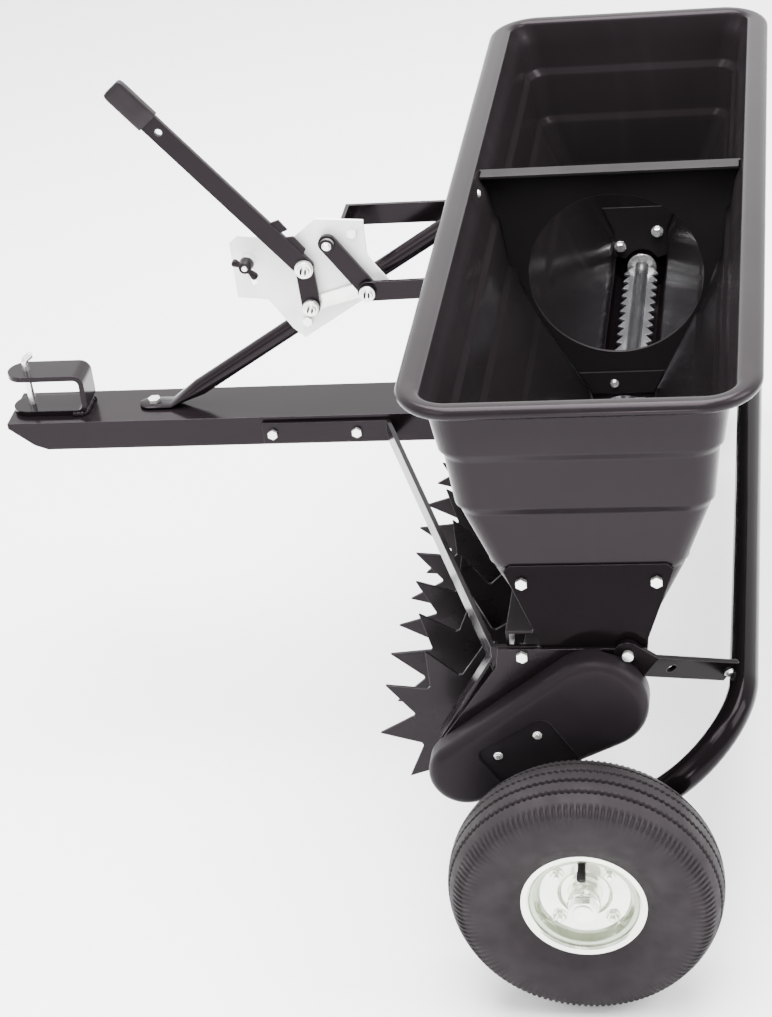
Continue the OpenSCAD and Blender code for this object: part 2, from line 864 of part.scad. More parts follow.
module spike_wheel(i) {
    turn = 12 * (i % 3) + 7;
    color(black) plate(spike_y(i) - spike_t / 2, spike_t) translate(spiker) difference() {
        rotate(turn) polygon(spike_outline());
        circle(r = axle_r + run);
    }
}

module spiker_axle() {
    end = side_out + sheet + 6;
    color(zinc) {
        rod_y(spiker, pulley_y - pulley_w - 2, end, axle_r);
        difference() {
            rod_y(spiker, side_out + sheet + pass, end, axle_r + 5);
            rod_y(spiker, side_out, end + 1, axle_r);
        }
    }
}

module tube_y(p, y0, y1, r_out, r_in) {
    plate(y0, y1 - y0) translate(p) difference() {
        circle(r = r_out);
        circle(r = r_in);
    }
}

module spike_spacers() {
    half = spike_t / 2 + seat / 2;
    color(black) {
        for (i = [0:wheel_count - 2])
            tube_y(spiker, spike_y(i) + half, spike_y(i + 1) - half, spacer_r, axle_r + run);
        on_both_sides()
            tube_y(spiker, -side_y + pass, spike_y(0) - half, spacer_r, axle_r + run);
    }
}

// Flanged bushes in the side plates
module bush(p, r_in, y_in) {
    r_out = r_in + run + bearing_wall;
    tube_y(p, -side_out, -y_in, r_out, r_in + run);
    tube_y(p, -side_out - sheet, -side_out, r_out + 5, r_in + run);
}

module spiker_bearings() {
    color(zinc) on_both_sides() bush(spiker, axle_r, side_y);
}

module agitator_bearings() {
    color(zinc) on_both_sides() bush(agitator, shaft_r, end_plate_y);
}

// Pulley with a groove for the belt
belt_w = 8;
belt_t = 5;

module pulley(p, r, bore) {
    mid = pulley_w / 2;
    color(zinc) translate([p[0], pulley_y, p[1]]) rotate([90, 0, 0]) rotate_extrude() difference() {
        translate([bore + run, 0]) square([r + 4 - bore - run, pulley_w]);
        polygon([[r, mid - belt_w / 2], [r + 5, 0.5], [r + 5, pulley_w - 0.5], [r, mid + belt_w / 2]]);
    }
}

module spiker_pulley() pulley(spiker, spike_pulley_r, axle_r);
module agitator_pulley() pulley(agitator, agitator_pulley_r, shaft_r);

module belt_loop(extra) {
    hull() {
        spot(spiker, spike_pulley_r + extra);
        spot(agitator, agitator_pulley_r + extra);
    }
}

module drive_belt() {
    y0 = pulley_y - pulley_w / 2 - belt_w / 2 + 1;
    color(rubber) plate(y0, belt_w - 2) difference() {
        belt_loop(pass + belt_t);
        belt_loop(pass);
    }
}

// Agitator: shaft and two toothed flats
tooth_pitch = 20;
blade_half = 21;
blade_t = 3;
blade_l = end_low - 12;

module agitator_shaft() {
    color(zinc) {
        rod_y(agitator, pulley_y - pulley_w - 2, side_out + sheet + 6, shaft_r);
        difference() {
            rod_y(agitator, side_out + sheet + pass, side_out + sheet + 6, shaft_r + 5);
            rod_y(agitator, side_out, side_out + sheet + 7, shaft_r);
        }
    }
}

module agitator_blade() {
    teeth = floor(2 * blade_l / tooth_pitch);
    start = -teeth * tooth_pitch / 2;
    points = [for (i = [0:teeth - 1]) each [[blade_half, start + i * tooth_pitch],
                                             [blade_half - 8, start + (i + 0.75) * tooth_pitch]]];
    color(zinc) for (s = [0, 180])
        translate([agitator[0], 0, agitator[1]]) rotate([0, s, 0])
            translate([0, 0, -blade_t / 2]) linear_extrude(blade_t)
                polygon(concat([[shaft_r + seat, start]], points, [[shaft_r + seat, -start]]));
}

// Drive cover on the left side plate
cover_low_r = 35;
cover_high_r = 50;
cover_wall = 2.5;
cover_round = 9;
screw_r = 2.5;
to_tube = cross_run - transport;
strap_angle = atan2(to_tube[1], to_tube[0]);
notch_l = 40;
cover_screw_at = [spiker + [35, 25], spiker + [74, 49]];

module cover_shape(shrink, y0, y1) {
    plate(y0, y1 - y0) hull() {
        translate(spiker) circle(r = cover_low_r - shrink, $fn = 40);
        translate(agitator) circle(r = cover_high_r - shrink, $fn = 40);
    }
}

// Rounded body of the cover, drawn in by an inset and run past its open side by some extra
module cover_body(inset, extra) {
    open = -side_out - seat;
    face = open - cover_depth + inset;
    hull() {
        cover_shape(inset, face + cover_round, open + extra);
        cover_shape(inset + cover_round * 0.3, face + cover_round * 0.3, open);
        cover_shape(inset + cover_round, face, open);
    }
}

module belt_cover() {
    color(black) difference() {
        cover_body(0, 0);
        cover_body(cover_wall, 1);
        for (p = cover_screw_at) hole_y(p, screw_r + bolt_clear);
        translate([transport[0], 0, transport[1]]) rotate([0, -strap_angle, 0])
            block(-notch_l, notch_l, -strap_y - strap_t - pass, 0, -strap_h / 2 - 2 * pass, strap_h);
    }
}

module cover_screws() {
    face = -side_out - seat - cover_depth;
    color(zinc) for (p = cover_screw_at) {
        rod_y(p, face - 3, face - seat / 2, screw_r + 2.5);
        rod_y(p, face - seat / 2, -side_y, screw_r);
    }
}

// Wheel frame: U tube in a tilted plane, from its cross run to the wheel axles
arm_dir = wheel - cross_run;
arm_l = norm(arm_dir);
arm_tilt = atan2(-arm_dir[1], -arm_dir[0]);
tyre_in = hopper_l / 2 + tyre_gap;
wheel_y = tyre_in + tyre_w / 2;
arm_y = tyre_in - 6 - frame_tube_r;
tube_wall = 2;
arm_end = 16;

module bent_tube(r, extra) {
    run_half = arm_y - frame_bend;
    translate([cross_run[0], 0, cross_run[1]]) rotate([0, -arm_tilt, 0]) {
        translate([0, run_half, 0]) rotate([90, 0, 0]) cylinder(r = r, h = 2 * run_half);
        on_both_sides() {
            translate([-frame_bend, -run_half, 0]) rotate([0, 0, -90]) rotate_extrude(angle = 90)
                translate([frame_bend, 0]) circle(r = r);
            translate([-frame_bend, -arm_y, 0]) rotate([0, -90, 0])
                cylinder(r = r, h = arm_l - frame_bend + arm_end + extra);
        }
    }
}

module transport_tube() {
    color(black) difference() {
        bent_tube(frame_tube_r, 0);
        bent_tube(frame_tube_r - tube_wall, 1);
        hole_y(wheel, axle_r + run);
    }
}

// Straps from the pivots to the cross run
transport_pin_r = 3.5;
strap_knee = 24;
spare_hole_r = 5;
spare_hole_at = 46;
strap_end = arm_y - frame_bend - 2;

module transport_strap(right) {
    y = -strap_y - strap_t / 2;
    tip = [norm(to_tube) - frame_tube_r - seat - strap_t / 2, strap_t / 2 - strap_end];
    slant = atan2(tip[1] - y, tip[0] - strap_knee);
    color(black) mirrored(right) translate([transport[0], 0, transport[1]])
        rotate([0, -strap_angle, 0]) difference() {
            union() {
                rod_y([0, 0], y - strap_t / 2, y + strap_t / 2, (strap_h + 1) / 2);
                strap_leg([0, y], [strap_knee, y]);
                strap_leg([strap_knee, y], tip);
            }
            rod_y([0, 0], y - strap_t, y + strap_t, transport_pin_r + run);
            translate([strap_knee, y, 0]) rotate([0, 0, slant])
                rod_y([(spare_hole_at - strap_knee) / cos(slant), 0], -strap_t, strap_t, spare_hole_r);
        }
}

module transport_strap_left() transport_strap(false);
module transport_strap_right() transport_strap(true);

module transport_pivots() {
    front = -strap_y - strap_t - pass;
    color(zinc) on_both_sides() {
        rod_y(transport, front, -side_y, transport_pin_r);
        rod_y(transport, front - head_h, front, transport_pin_r + 1.7);
    }
}

// Wheels
hub_half = 32;
hub_wall = 6;
collar_in = arm_y + frame_tube_r + 1;
wheel_nut_r = 14;
wheel_nut_h = 9;

module wheel_axles() {
    color(zinc) on_both_sides() {
        rod_y(wheel, -wheel_y - hub_half - 11, -arm_y + frame_tube_r - 1, axle_r);
        tube_y(wheel, -wheel_y + hub_half + pass, -collar_in, axle_r + 6, axle_r);
    }
}

module wheel_nuts() {
    color(zinc) on_both_sides() difference() {
        translate([wheel[0], -wheel_y - hub_half - pass, wheel[1]]) rotate([90, 0, 0])
            cylinder(r = wheel_nut_r, h = wheel_nut_h, $fn = 6);
        hole_y(wheel, axle_r + run);
    }
}

rim_half = 31;
rim_t = 2.5;
seat_r = rim_r - 9;
rim_bolt_ring = 35;
rim_bolt_r = 3;
rim_bolts = 4;
dish = 9;
disc_t = 3;
// Inner face of the dished disc as [radius, height], from the hub to the bead seat
dish_line = [[axle_r + hub_wall, dish - 5], [24, dish - 5], [30, dish], [42, dish], [seat_r - 1, dish + 11]];

// Places the children on the wheel's axis, with the outer side up
module at_wheel(right) {
    mirrored(right) translate([wheel[0], -wheel_y, wheel[1]]) rotate([90, 0, 0]) children();
}

module round_rim_bolts() {
    for (i = [0:rim_bolts - 1])
        rotate([0, 0, 45 + i * 360 / rim_bolts]) translate([rim_bolt_ring, 0, 0]) children();
}

module wheel_rim(right) {
    color(zinc) at_wheel(right) {
        difference() {
            rotate_extrude() {
                translate([axle_r + run, -hub_half]) square([hub_wall, 2 * hub_half]);
                translate([seat_r - rim_t, -rim_half]) square([rim_t, 2 * rim_half]);
                for (y = [-rim_half, rim_half - rim_t])
                    translate([seat_r - 1, y]) square([rim_r - seat_r + 1, rim_t]);
                polygon(concat([for (p = dish_line) p], [for (p = reversed(dish_line)) p + [-1, disc_t]]));
            }
            round_rim_bolts() cylinder(r = rim_bolt_r + bolt_clear, h = 20);
            rotate([0, 0, 90]) translate([valve_ring, 0, 0]) cylinder(r = valve_r + bolt_clear, h = 30);
        }
        round_rim_bolts() {
            translate([0, 0, dish + 3 + seat]) cylinder(r = 5.5, h = 4, $fn = 6);
            translate([0, 0, dish - 3]) cylinder(r = rim_bolt_r, h = 6 + seat);
        }
    }
}

module wheel_rim_left() wheel_rim(false);
module wheel_rim_right() wheel_rim(true);

// Half section of the tyre as [radius, half width], from the bead over the crown
tyre_wall = 7;
bead_half = rim_half - rim_t - seat;
tyre_half = tyre_w / 2;
flank = [for (t = [0.28, 0.5, 0.72]) blend(rim_r, tyre_r, t)];
tyre_outer = [[seat_r + seat, bead_half], [rim_r + pass, bead_half], [rim_r + 3, bead_half + 4],
              [flank[0], tyre_half - 3],
              [flank[1], tyre_half], [flank[2], tyre_half - 1.5], [tyre_r - 10, tyre_half - 7],
              [tyre_r - 3.5, tyre_half - 15], [tyre_r - 1, tyre_half - 26], [tyre_r, tyre_half - 38]];
tyre_inner = [[seat_r + seat, bead_half - tyre_wall], [flank[0], tyre_half - 3 - tyre_wall],
              [flank[2], tyre_half - 3 - tyre_wall], [tyre_r - 14, tyre_half - 20]];

function flipped(points) = [for (i = [len(points) - 1:-1:0]) [points[i][0], -points[i][1]]];
function reversed(points) = [for (i = [len(points) - 1:-1:0]) points[i]];

valve_ring = 46;
valve_r = 4;

module tyre(right) {
    color(rubber) at_wheel(right) {
        rotate_extrude(convexity = 4)
            polygon(concat(tyre_outer, flipped(tyre_outer),
                           flipped(reversed(tyre_inner)), reversed(tyre_inner)));
        rotate([0, 0, 90]) translate([valve_ring, 0, dish - 4]) cylinder(r = valve_r, h = 22);
    }
}

module tyre_left() tyre(false);
module tyre_right() tyre(true);

// Hex bolts and nuts of the frame
module frame_bolts() {
    color(zinc) {
        on_both_sides() {
            bolt_y(foot_bolt, -side_out - seat, strap_t + side_t + 3 * seat);
            for (x = brace_bolt_x)
                bolt_y([x, brace_z], -tow_half - strap_t - 2 * seat, strap_t + tow_t + 3 * seat);
            for (x = end_bolt_x)
                bolt_y([x, end_bolt_z], -end_plate_y - sheet - seat, sheet + wall + 2 * seat + end_nut_gap);
        }
        top_bolt(foot_x, 0, clevis_base + tube_foot_t);
        for (y = [-rail_bolt_y, rail_bolt_y]) top_bolt(rail_bolt_x, y, tow_top);
        bolt_y(plate_bolt, plate_y - seat, sheet + 2 * control_tube_r + 3 * seat);
        bolt_y(strap_front_bolt, plate_y - seat, sheet + strap_t_control + 3 * seat);
        wall_bolt(strap_pad_bolt, strap_rear - strap_t_control - seat);
        wall_bolt(tube_pad_bolt, tube_pad_x - tube_pad - seat);
    }
}

// Screw along X at [y, z] into the hopper's front wall, with its head behind the plane x
module wall_bolt(p, x) {
    tip = wall_bite - seat - wall_half(p[1]);
    translate([x, p[0], p[1]]) rotate([0, -90, 0]) cylinder(r = head_r, h = head_h, $fn = 6);
    translate([x, p[0], p[1]]) rotate([0, 90, 0]) cylinder(r = bolt_r, h = tip - x);
}

// Hex bolt standing in a hole of the tow bar, with its head on top
top_head_r = 7.2;

module top_bolt(x, y, z) {
    low = tow_top - tow_t - sheet - 3 * seat;
    translate([x, y, z + seat / 2]) cylinder(r = top_head_r, h = head_h, $fn = 6);
    translate([x, y, low - nut_h - 2]) cylinder(r = bolt_r, h = z + seat / 2 - low + nut_h + 2);
    translate([x, y, low - nut_h]) difference() {
        cylinder(r = head_r, h = nut_h, $fn = 6);
        cylinder(r = bolt_r, h = nut_h);
    }
}

// Every node stands in the shifted frame
module placed() {
    translate([origin_shift, 0, 0]) children();
}

placed() hopper();
placed() hopper_divider();
placed() bottom_plate();
placed() gate_guides();
placed() end_plate_left();
placed() end_plate_right();
placed() side_plate_left();
placed() side_plate_right();
placed() front_rail();
placed() tow_bar();
placed() hitch_clevis();
placed() hitch_pin();
placed() tow_brace_left();
placed() tow_brace_right();
placed() control_tube();
placed() control_strap();
placed() control_plate();
placed() control_lever();
placed() lever_grip();
placed() control_link();
placed() control_crank();
placed() pull_bar();
placed() gate_rocker();
placed() gate_plate();
placed() stop_bolt();
placed() wing_nut();
placed() control_pivots();
placed() spiker_axle();
placed() spike_wheel(0);  // spike_wheel_01
placed() spike_wheel(1);  // spike_wheel_02
placed() spike_wheel(2);  // spike_wheel_03
placed() spike_wheel(3);  // spike_wheel_04
placed() spike_wheel(4);  // spike_wheel_05
placed() spike_wheel(5);  // spike_wheel_06
placed() spike_wheel(6);  // spike_wheel_07
placed() spike_wheel(7);  // spike_wheel_08
placed() spike_wheel(8);  // spike_wheel_09
placed() spike_wheel(9);  // spike_wheel_10
placed() spike_wheel(10);  // spike_wheel_11
placed() spike_spacers();
placed() spiker_bearings();
placed() spiker_pulley();
placed() agitator_shaft();
placed() agitator_blade();
placed() agitator_bearings();
placed() agitator_pulley();
placed() drive_belt();
placed() belt_cover();
placed() cover_screws();
placed() transport_tube();
placed() transport_strap_left();
placed() transport_strap_right();
placed() transport_pivots();
placed() wheel_axles();
placed() wheel_nuts();
placed() wheel_rim_left();
placed() wheel_rim_right();
placed() tyre_left();
placed() tyre_right();
placed() frame_bolts();
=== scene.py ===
import json
import math

import bmesh
import bpy
from mathutils import Matrix, Vector


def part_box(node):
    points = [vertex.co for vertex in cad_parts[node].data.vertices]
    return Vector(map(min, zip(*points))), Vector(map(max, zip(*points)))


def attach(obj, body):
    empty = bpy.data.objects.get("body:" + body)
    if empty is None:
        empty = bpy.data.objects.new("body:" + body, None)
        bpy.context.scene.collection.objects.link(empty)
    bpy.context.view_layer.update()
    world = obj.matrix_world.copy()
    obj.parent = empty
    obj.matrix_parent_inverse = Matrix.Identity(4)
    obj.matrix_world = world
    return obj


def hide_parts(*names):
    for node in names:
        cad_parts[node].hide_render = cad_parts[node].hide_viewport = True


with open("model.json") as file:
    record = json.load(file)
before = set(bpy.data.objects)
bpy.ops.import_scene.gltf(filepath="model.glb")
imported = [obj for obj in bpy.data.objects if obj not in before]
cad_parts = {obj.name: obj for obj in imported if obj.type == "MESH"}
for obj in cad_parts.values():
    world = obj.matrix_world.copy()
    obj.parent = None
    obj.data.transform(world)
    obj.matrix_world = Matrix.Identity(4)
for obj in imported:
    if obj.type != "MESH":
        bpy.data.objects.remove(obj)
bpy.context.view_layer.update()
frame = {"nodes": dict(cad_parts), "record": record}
nodes = frame["nodes"]

# Shapes are worked out in millimetres about the hopper's centre plane, as in the part's source
MM = 0.001
hopper_low, hopper_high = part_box("hopper")
ORIGIN_X = (hopper_low.x + hopper_high.x) / 2


def in_machine(point):
    """A point of the row frame, in millimetres from the hopper's centre plane."""
    return Vector(((point.x - ORIGIN_X) / MM, point.y / MM, point.z / MM))


def low_of(node):
    return in_machine(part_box(node)[0])


def high_of(node):
    return in_machine(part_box(node)[1])


def middle_of(node):
    return (low_of(node) + high_of(node)) / 2


def blend(a, b, share):
    return a + (b - a) * share


# Mesh helpers: a shape is a pair of lists, vertices and faces


def joined(*shapes):
    verts, faces = [], []
    for v, f in shapes:
        start = len(verts)
        verts += [Vector(p) for p in v]
        faces += [[start + i for i in face] for face in f]
    return verts, faces


def moved(shape, matrix):
    return [matrix @ Vector(p) for p in shape[0]], shape[1]


def loft(rings, closed=False, caps=True):
    """Skin over rings of equally many points; closed joins the last ring to the first."""
    n, m = len(rings[0]), len(rings)
    verts = [Vector(p) for ring in rings for p in ring]
    faces = []
    for j in range(m if closed else m - 1):
        a, b = j * n, ((j + 1) % m) * n
        faces += [[a + i, a + (i + 1) % n, b + (i + 1) % n, b + i] for i in range(n)]
    if caps and not closed:
        faces += [list(range(n))[::-1], list(range((m - 1) * n, m * n))]
    return verts, faces


def lathe(profile, steps=64, closed=False):
    """Profile of (radius, height) turned round Z."""
    rings = []
    for radius, height in profile:
        turns = [2 * math.pi * i / steps for i in range(steps)]
        rings.append([(radius * math.cos(a), radius * math.sin(a), height) for a in turns])
    return loft(rings, closed=closed)


def sweep(path, sections, steps=32, power=2.0, side=Vector((0, 1, 0))):
    """Superellipse sections, as (half across side, half across the other way), along a path."""
    rings = []
    for i, point in enumerate(path):
        before, after = path[max(i - 1, 0)], path[min(i + 1, len(path) - 1)]
        along = (after - before).normalized()
        across = (side - along * side.dot(along)).normalized()
        up = along.cross(across)
        half_a, half_b = sections[i]
        ring = []
        for k in range(steps):
            c, s = math.cos(2 * math.pi * k / steps), math.sin(2 * math.pi * k / steps)
            ca = math.copysign(abs(c) ** (2 / power), c)
            sb = math.copysign(abs(s) ** (2 / power), s)
            ring.append(point + across * half_a * ca + up * half_b * sb)
        rings.append(ring)
    return loft(rings)


def pointing(direction, at):
    """Matrix that turns +Z to a direction and moves the origin to a point."""
    return Matrix.Translation(at) @ Vector(direction).to_track_quat("Z", "Y").to_matrix().to_4x4()


def slab(outline, y0, y1):
    """Outline of (x, z) points made into a plate between two planes."""
    return loft([[(x, y0, z) for x, z in outline], [(x, y1, z) for x, z in outline]])


def arc(centre, radius, start, end, steps):
    """Points of an arc in the XZ plane, angles in degrees."""
    angles = [math.radians(blend(start, end, i / steps)) for i in range(steps + 1)]
    return [(centre[0] + radius * math.cos(a), centre[1] + radius * math.sin(a)) for a in angles]


def in_row(points):
    """Points in millimetres about the hopper's centre plane, as metres of the row frame."""
    return [(v.x * MM + ORIGIN_X, v.y * MM, v.z * MM) for v in map(Vector, points)]


def piece(name, shape, body, material, replaces=(), sharp=35.0, bevel=0.0):
    """Object of a shape that rides a body; edges over the angle sharp stay hard, bevel is in millimetres."""
    mesh = bpy.data.meshes.new(name)
    mesh.from_pydata(in_row(shape[0]), [], shape[1])
    bm = bmesh.new()
    bm.from_mesh(mesh)
    bmesh.ops.remove_doubles(bm, verts=bm.verts, dist=1e-6)
    bmesh.ops.recalc_face_normals(bm, faces=bm.faces)
    limit = math.radians(sharp)
    for face in bm.faces:
        face.smooth = True
    for edge in bm.edges:
        edge.smooth = len(edge.link_faces) == 2 and edge.calc_face_angle(0) < limit
    bm.to_mesh(mesh)
    bm.free()
    obj = bpy.data.objects.new(name, mesh)
    bpy.context.scene.collection.objects.link(obj)
    obj.data.materials.append(material)
    if bevel:
        rounding = obj.modifiers.new("rounding", "BEVEL")
        rounding.width = bevel * MM
        rounding.segments = 3
        rounding.limit_method = "ANGLE"
        rounding.angle_limit = math.radians(sharp)
        rounding.harden_normals = True
    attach(obj, body)
    if replaces:
        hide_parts(*replaces)
    return obj


# Materials


# Reflections on the blacks lean to purple, as in the photo
DARK_TINT = (1.0, 0.86, 0.95)
# Pale colour of the painted highlight on rounded edges, where they catch the light
EDGE_HIGHLIGHT_COLOUR = (0.08, 0.075, 0.08)


class Surface:
    """Node material whose colour, roughness and bump come from noise in the piece's own frame."""

    def __init__(self, name, metallic=0.0, specular=0.5, tint=(1.0, 1.0, 1.0)):
        self.material = bpy.data.materials.new(name)
        self.material.use_nodes = True
        self.tree = self.material.node_tree
        self.shader = self.tree.nodes["Principled BSDF"]
        self.shader.inputs["Metallic"].default_value = metallic
        self.shader.inputs["Specular IOR Level"].default_value = specular
        self.shader.inputs["Specular Tint"].default_value = (*tint, 1)
        self.place = self.tree.nodes.new("ShaderNodeTexCoord").outputs["Object"]

    def link(self, output, target):
        self.tree.links.new(output, target)

    def noise(self, scale, detail=3.0, stretch=(1, 1, 1), roughness=0.5):
        mapping = self.tree.nodes.new("ShaderNodeMapping")
        mapping.inputs["Scale"].default_value = stretch
        self.link(self.place, mapping.inputs["Vector"])
        node = self.tree.nodes.new("ShaderNodeTexNoise")
        node.inputs["Scale"].default_value = scale
        node.inputs["Detail"].default_value = detail
        node.inputs["Roughness"].default_value = roughness
        self.link(mapping.outputs["Vector"], node.inputs["Vector"])
        return node.outputs["Fac"]

    def ramp(self, value, stops):
        node = self.tree.nodes.new("ShaderNodeValToRGB")
        elements = node.color_ramp.elements
        for i, (place, colour) in enumerate(stops):
            element = elements[i] if i < 2 else elements.new(place)
            element.position = place
            element.color = (*colour, 1)
        self.link(value, node.inputs["Fac"])
        return node.outputs["Color"]

    def spread(self, value, low, high):
        node = self.tree.nodes.new("ShaderNodeMapRange")
        node.inputs["From Min"].default_value = 0.3
        node.inputs["From Max"].default_value = 0.7
        node.inputs["To Min"].default_value = low
        node.inputs["To Max"].default_value = high
        self.link(value, node.inputs["Value"])
        return node.outputs["Result"]

    def colour(self, value):
        self.link(value, self.shader.inputs["Base Color"])

    def gloss(self, value):
        self.link(value, self.shader.inputs["Roughness"])

    def edge(self, radius):
        """Normal of softly rounded edges, and a mask that is 1 on them."""
        rounded = self.tree.nodes.new("ShaderNodeBevel")
        rounded.samples = 6
        rounded.inputs["Radius"].default_value = radius
        flat = self.tree.nodes.new("ShaderNodeNewGeometry")
        dot = self.tree.nodes.new("ShaderNodeVectorMath")
        dot.operation = "DOT_PRODUCT"
        self.link(rounded.outputs["Normal"], dot.inputs[0])
        self.link(flat.outputs["True Normal"], dot.inputs[1])
        mask = self.tree.nodes.new("ShaderNodeMapRange")
        mask.inputs["From Min"].default_value = 0.995
        mask.inputs["From Max"].default_value = 0.8
        self.link(dot.outputs["Value"], mask.inputs["Value"])
        return rounded.outputs["Normal"], mask.outputs["Result"]

    def bump(self, height, strength, distance, normal=None):
        node = self.tree.nodes.new("ShaderNodeBump")
        node.inputs["Strength"].default_value = strength
        node.inputs["Distance"].default_value = distance
        self.link(height, node.inputs["Height"])
        if normal is not None:
            self.link(normal, node.inputs["Normal"])
        self.link(node.outputs["Normal"], self.shader.inputs["Normal"])

    def mixed(self, share, a, b):
        node = self.tree.nodes.new("ShaderNodeMix")
        node.data_type = "RGBA"
        self.link(share, node.inputs["Factor"])
        self.link(a, node.inputs[6])
        self.link(b, node.inputs[7])
        return node.outputs[2]

    def times(self, a, factor):
        node = self.tree.nodes.new("ShaderNodeMath")
        node.operation = "MULTIPLY"
        self.link(a, node.inputs[0])
        node.inputs[1].default_value = factor
        return node.outputs["Value"]


def painted(name, base, roughness, coat, highlight_share, specular=0.11):
    """Satin powder coat: fine orange peel, slight tone changes, shinier edges, and edges painted paler as a
    highlight.
    """
    s = Surface(name, specular=specular, tint=DARK_TINT)
    tone = s.noise(7.0, 4.0)
    body = s.ramp(tone, [(0.3, [c * 0.8 for c in base]), (0.7, [c * 1.25 for c in base])])
    normal, edges = s.edge(0.0011)
    # Rounded edges are painted paler, as a highlight where they catch the light
    edge_highlight = s.ramp(s.noise(60.0, 5.0), [(0.35, [c * 1.6 for c in base]), (0.75, EDGE_HIGHLIGHT_COLOUR)])
    s.colour(s.mixed(s.times(edges, highlight_share), body, edge_highlight))
    s.gloss(s.spread(s.noise(24.0, 4.0), roughness - 0.06, roughness + 0.09))
    s.link(s.spread(edges, specular, specular + 0.3), s.shader.inputs["Specular IOR Level"])
    s.bump(s.noise(420.0, 2.0), 0.10, 0.0003, normal)
    s.shader.inputs["Coat Weight"].default_value = coat
    s.shader.inputs["Coat Roughness"].default_value = 0.12
    return s.material


def hopper_plastic():
    """Rotomoulded hopper: fine grain, faint paler streaks down the walls."""
    s = Surface("hopper_plastic", specular=0.10, tint=DARK_TINT)
    base = (0.0084, 0.0070, 0.0077)
    tone = s.noise(5.0, 4.0)
    body = s.ramp(tone, [(0.3, [c * 0.85 for c in base]), (0.75, [c * 1.2 for c in base])])
    streaks = s.noise(26.0, 5.0, stretch=(1, 1, 0.06), roughness=0.6)
    marks = s.ramp(streaks, [(0.55, base), (0.8, [c * 2.2 for c in base])])
    s.colour(s.mixed(s.times(streaks, 0.35), body, marks))
    s.gloss(s.spread(streaks, 0.17, 0.27))
    s.bump(s.noise(900.0, 3.0), 0.10, 0.0003)
    return s.material


def plated(name, base, roughness, metallic=0.9):
    """Bright zinc plating with faint rolling marks."""
    s = Surface(name, metallic=metallic)
    dark = [c * 0.84 for c in base]
    s.colour(s.ramp(s.noise(30.0, 5.0), [(0.3, dark), (0.65, base)]))
    normal, edges = s.edge(0.0006)
    s.gloss(s.spread(s.noise(90.0, 4.0, stretch=(1, 0.2, 1)), roughness - 0.08, roughness + 0.1))
    s.bump(s.noise(260.0, 3.0), 0.05, 0.0002, normal)
    return s.material


def tyre_rubber():
    """Matt rubber with a little dust."""
    s = Surface("tyre_rubber", specular=0.16, tint=DARK_TINT)
    base = (0.0105, 0.0092, 0.0098)
    dusty = (0.0128, 0.0115, 0.012)
    s.colour(s.ramp(s.noise(38.0, 6.0), [(0.35, base), (0.8, dusty)]))
    s.gloss(s.spread(s.noise(55.0, 4.0), 0.55, 0.78))
    s.bump(s.noise(700.0, 3.0), 0.2, 0.0003)
    return s.material


def soft_black(name, base, roughness):
    """Soft vinyl or belt rubber."""
    s = Surface(name, specular=0.2, tint=DARK_TINT)
    dark, pale = [c * 0.8 for c in base], [c * 1.4 for c in base]
    s.colour(s.ramp(s.noise(45.0, 4.0), [(0.3, dark), (0.75, pale)]))
    s.gloss(s.spread(s.noise(80.0, 3.0), roughness - 0.08, roughness + 0.1))
    s.bump(s.noise(520.0, 2.0), 0.15, 0.0003)
    return s.material


def floor_material():
    """Pale floor with faint changes of tone."""
    s = Surface("pale_floor", specular=0.2)
    s.colour(s.ramp(s.noise(0.8, 3.0), [(0.2, (0.86, 0.86, 0.87)), (0.8, (0.9, 0.9, 0.9))]))
    s.gloss(s.spread(s.noise(5.0, 2.0), 0.6, 0.7))
    return s.material


BLACK = painted("black_paint", (0.0048, 0.0035, 0.0042), 0.17, 0.03, 0.3)
SPIKE = painted("spike_paint", (0.0055, 0.0045, 0.005), 0.3, 0.03, 0.3)
# Darker copies of the black paint for the end plates, straps and bent tube: their darker base is painted shade
# on faces turned to the dim side; the tube's copy is glossier
BLACK_SHADED = painted("deep_paint_shaded", (0.0034, 0.0026, 0.003), 0.16, 0.0, 0.25, specular=0.03)
TUBE_SHADED = painted("tube_paint_shaded", (0.0034, 0.0026, 0.003), 0.12, 0.0, 0.25, specular=0.06)
COVER = painted("cover_paint", (0.0082, 0.0066, 0.0078), 0.38, 0.0, 0.1, specular=0.07)
# Black paint of the parts inside the hopper, with a paler base than black_paint as painted fill light for the
# dim inside
INNER_PAINTED_FILL = painted("inner_paint_painted_fill", (0.011, 0.010, 0.0105), 0.42, 0.0, 0.15, specular=0.06)
PLASTIC = hopper_plastic()
ZINC = plated("zinc_plating", (0.92, 0.93, 0.90), 0.26)
RIM = plated("rim_plating", (0.90, 0.92, 0.83), 0.16)
# Darker zinc for a thin ring over the rim's wall, as a painted dark reflection
RIM_WALL_SHADE = plated("rim_wall_painted_shade", (0.40, 0.44, 0.35), 0.18)
SHEET = plated("zinc_sheet", (0.99, 0.99, 0.985), 0.42, metallic=0.12)
SHAFT = plated("shaft_plating", (0.2, 0.2, 0.21), 0.22)
BLADE = plated("blade_plating", (0.46, 0.45, 0.48), 0.2)
TYRE = tyre_rubber()
VINYL = soft_black("grip_vinyl", (0.007, 0.006, 0.0065), 0.38)
BELT = soft_black("belt_rubber", (0.02, 0.02, 0.02), 0.6)

BY_SLOT = {
    "black_paint": BLACK,
    "spike_paint": SPIKE,
    "hopper_plastic": PLASTIC,
    "zinc_plating": ZINC,
    "rim_plating": RIM,
    "tyre_rubber": TYRE,
    "grip_rubber": VINYL,
    "belt_rubber": BELT,
}
for part in frame["record"]["subparts"]:
    nodes[part["node"]].data.materials.clear()
    nodes[part["node"]].data.materials.append(BY_SLOT[part["material_slot"]])
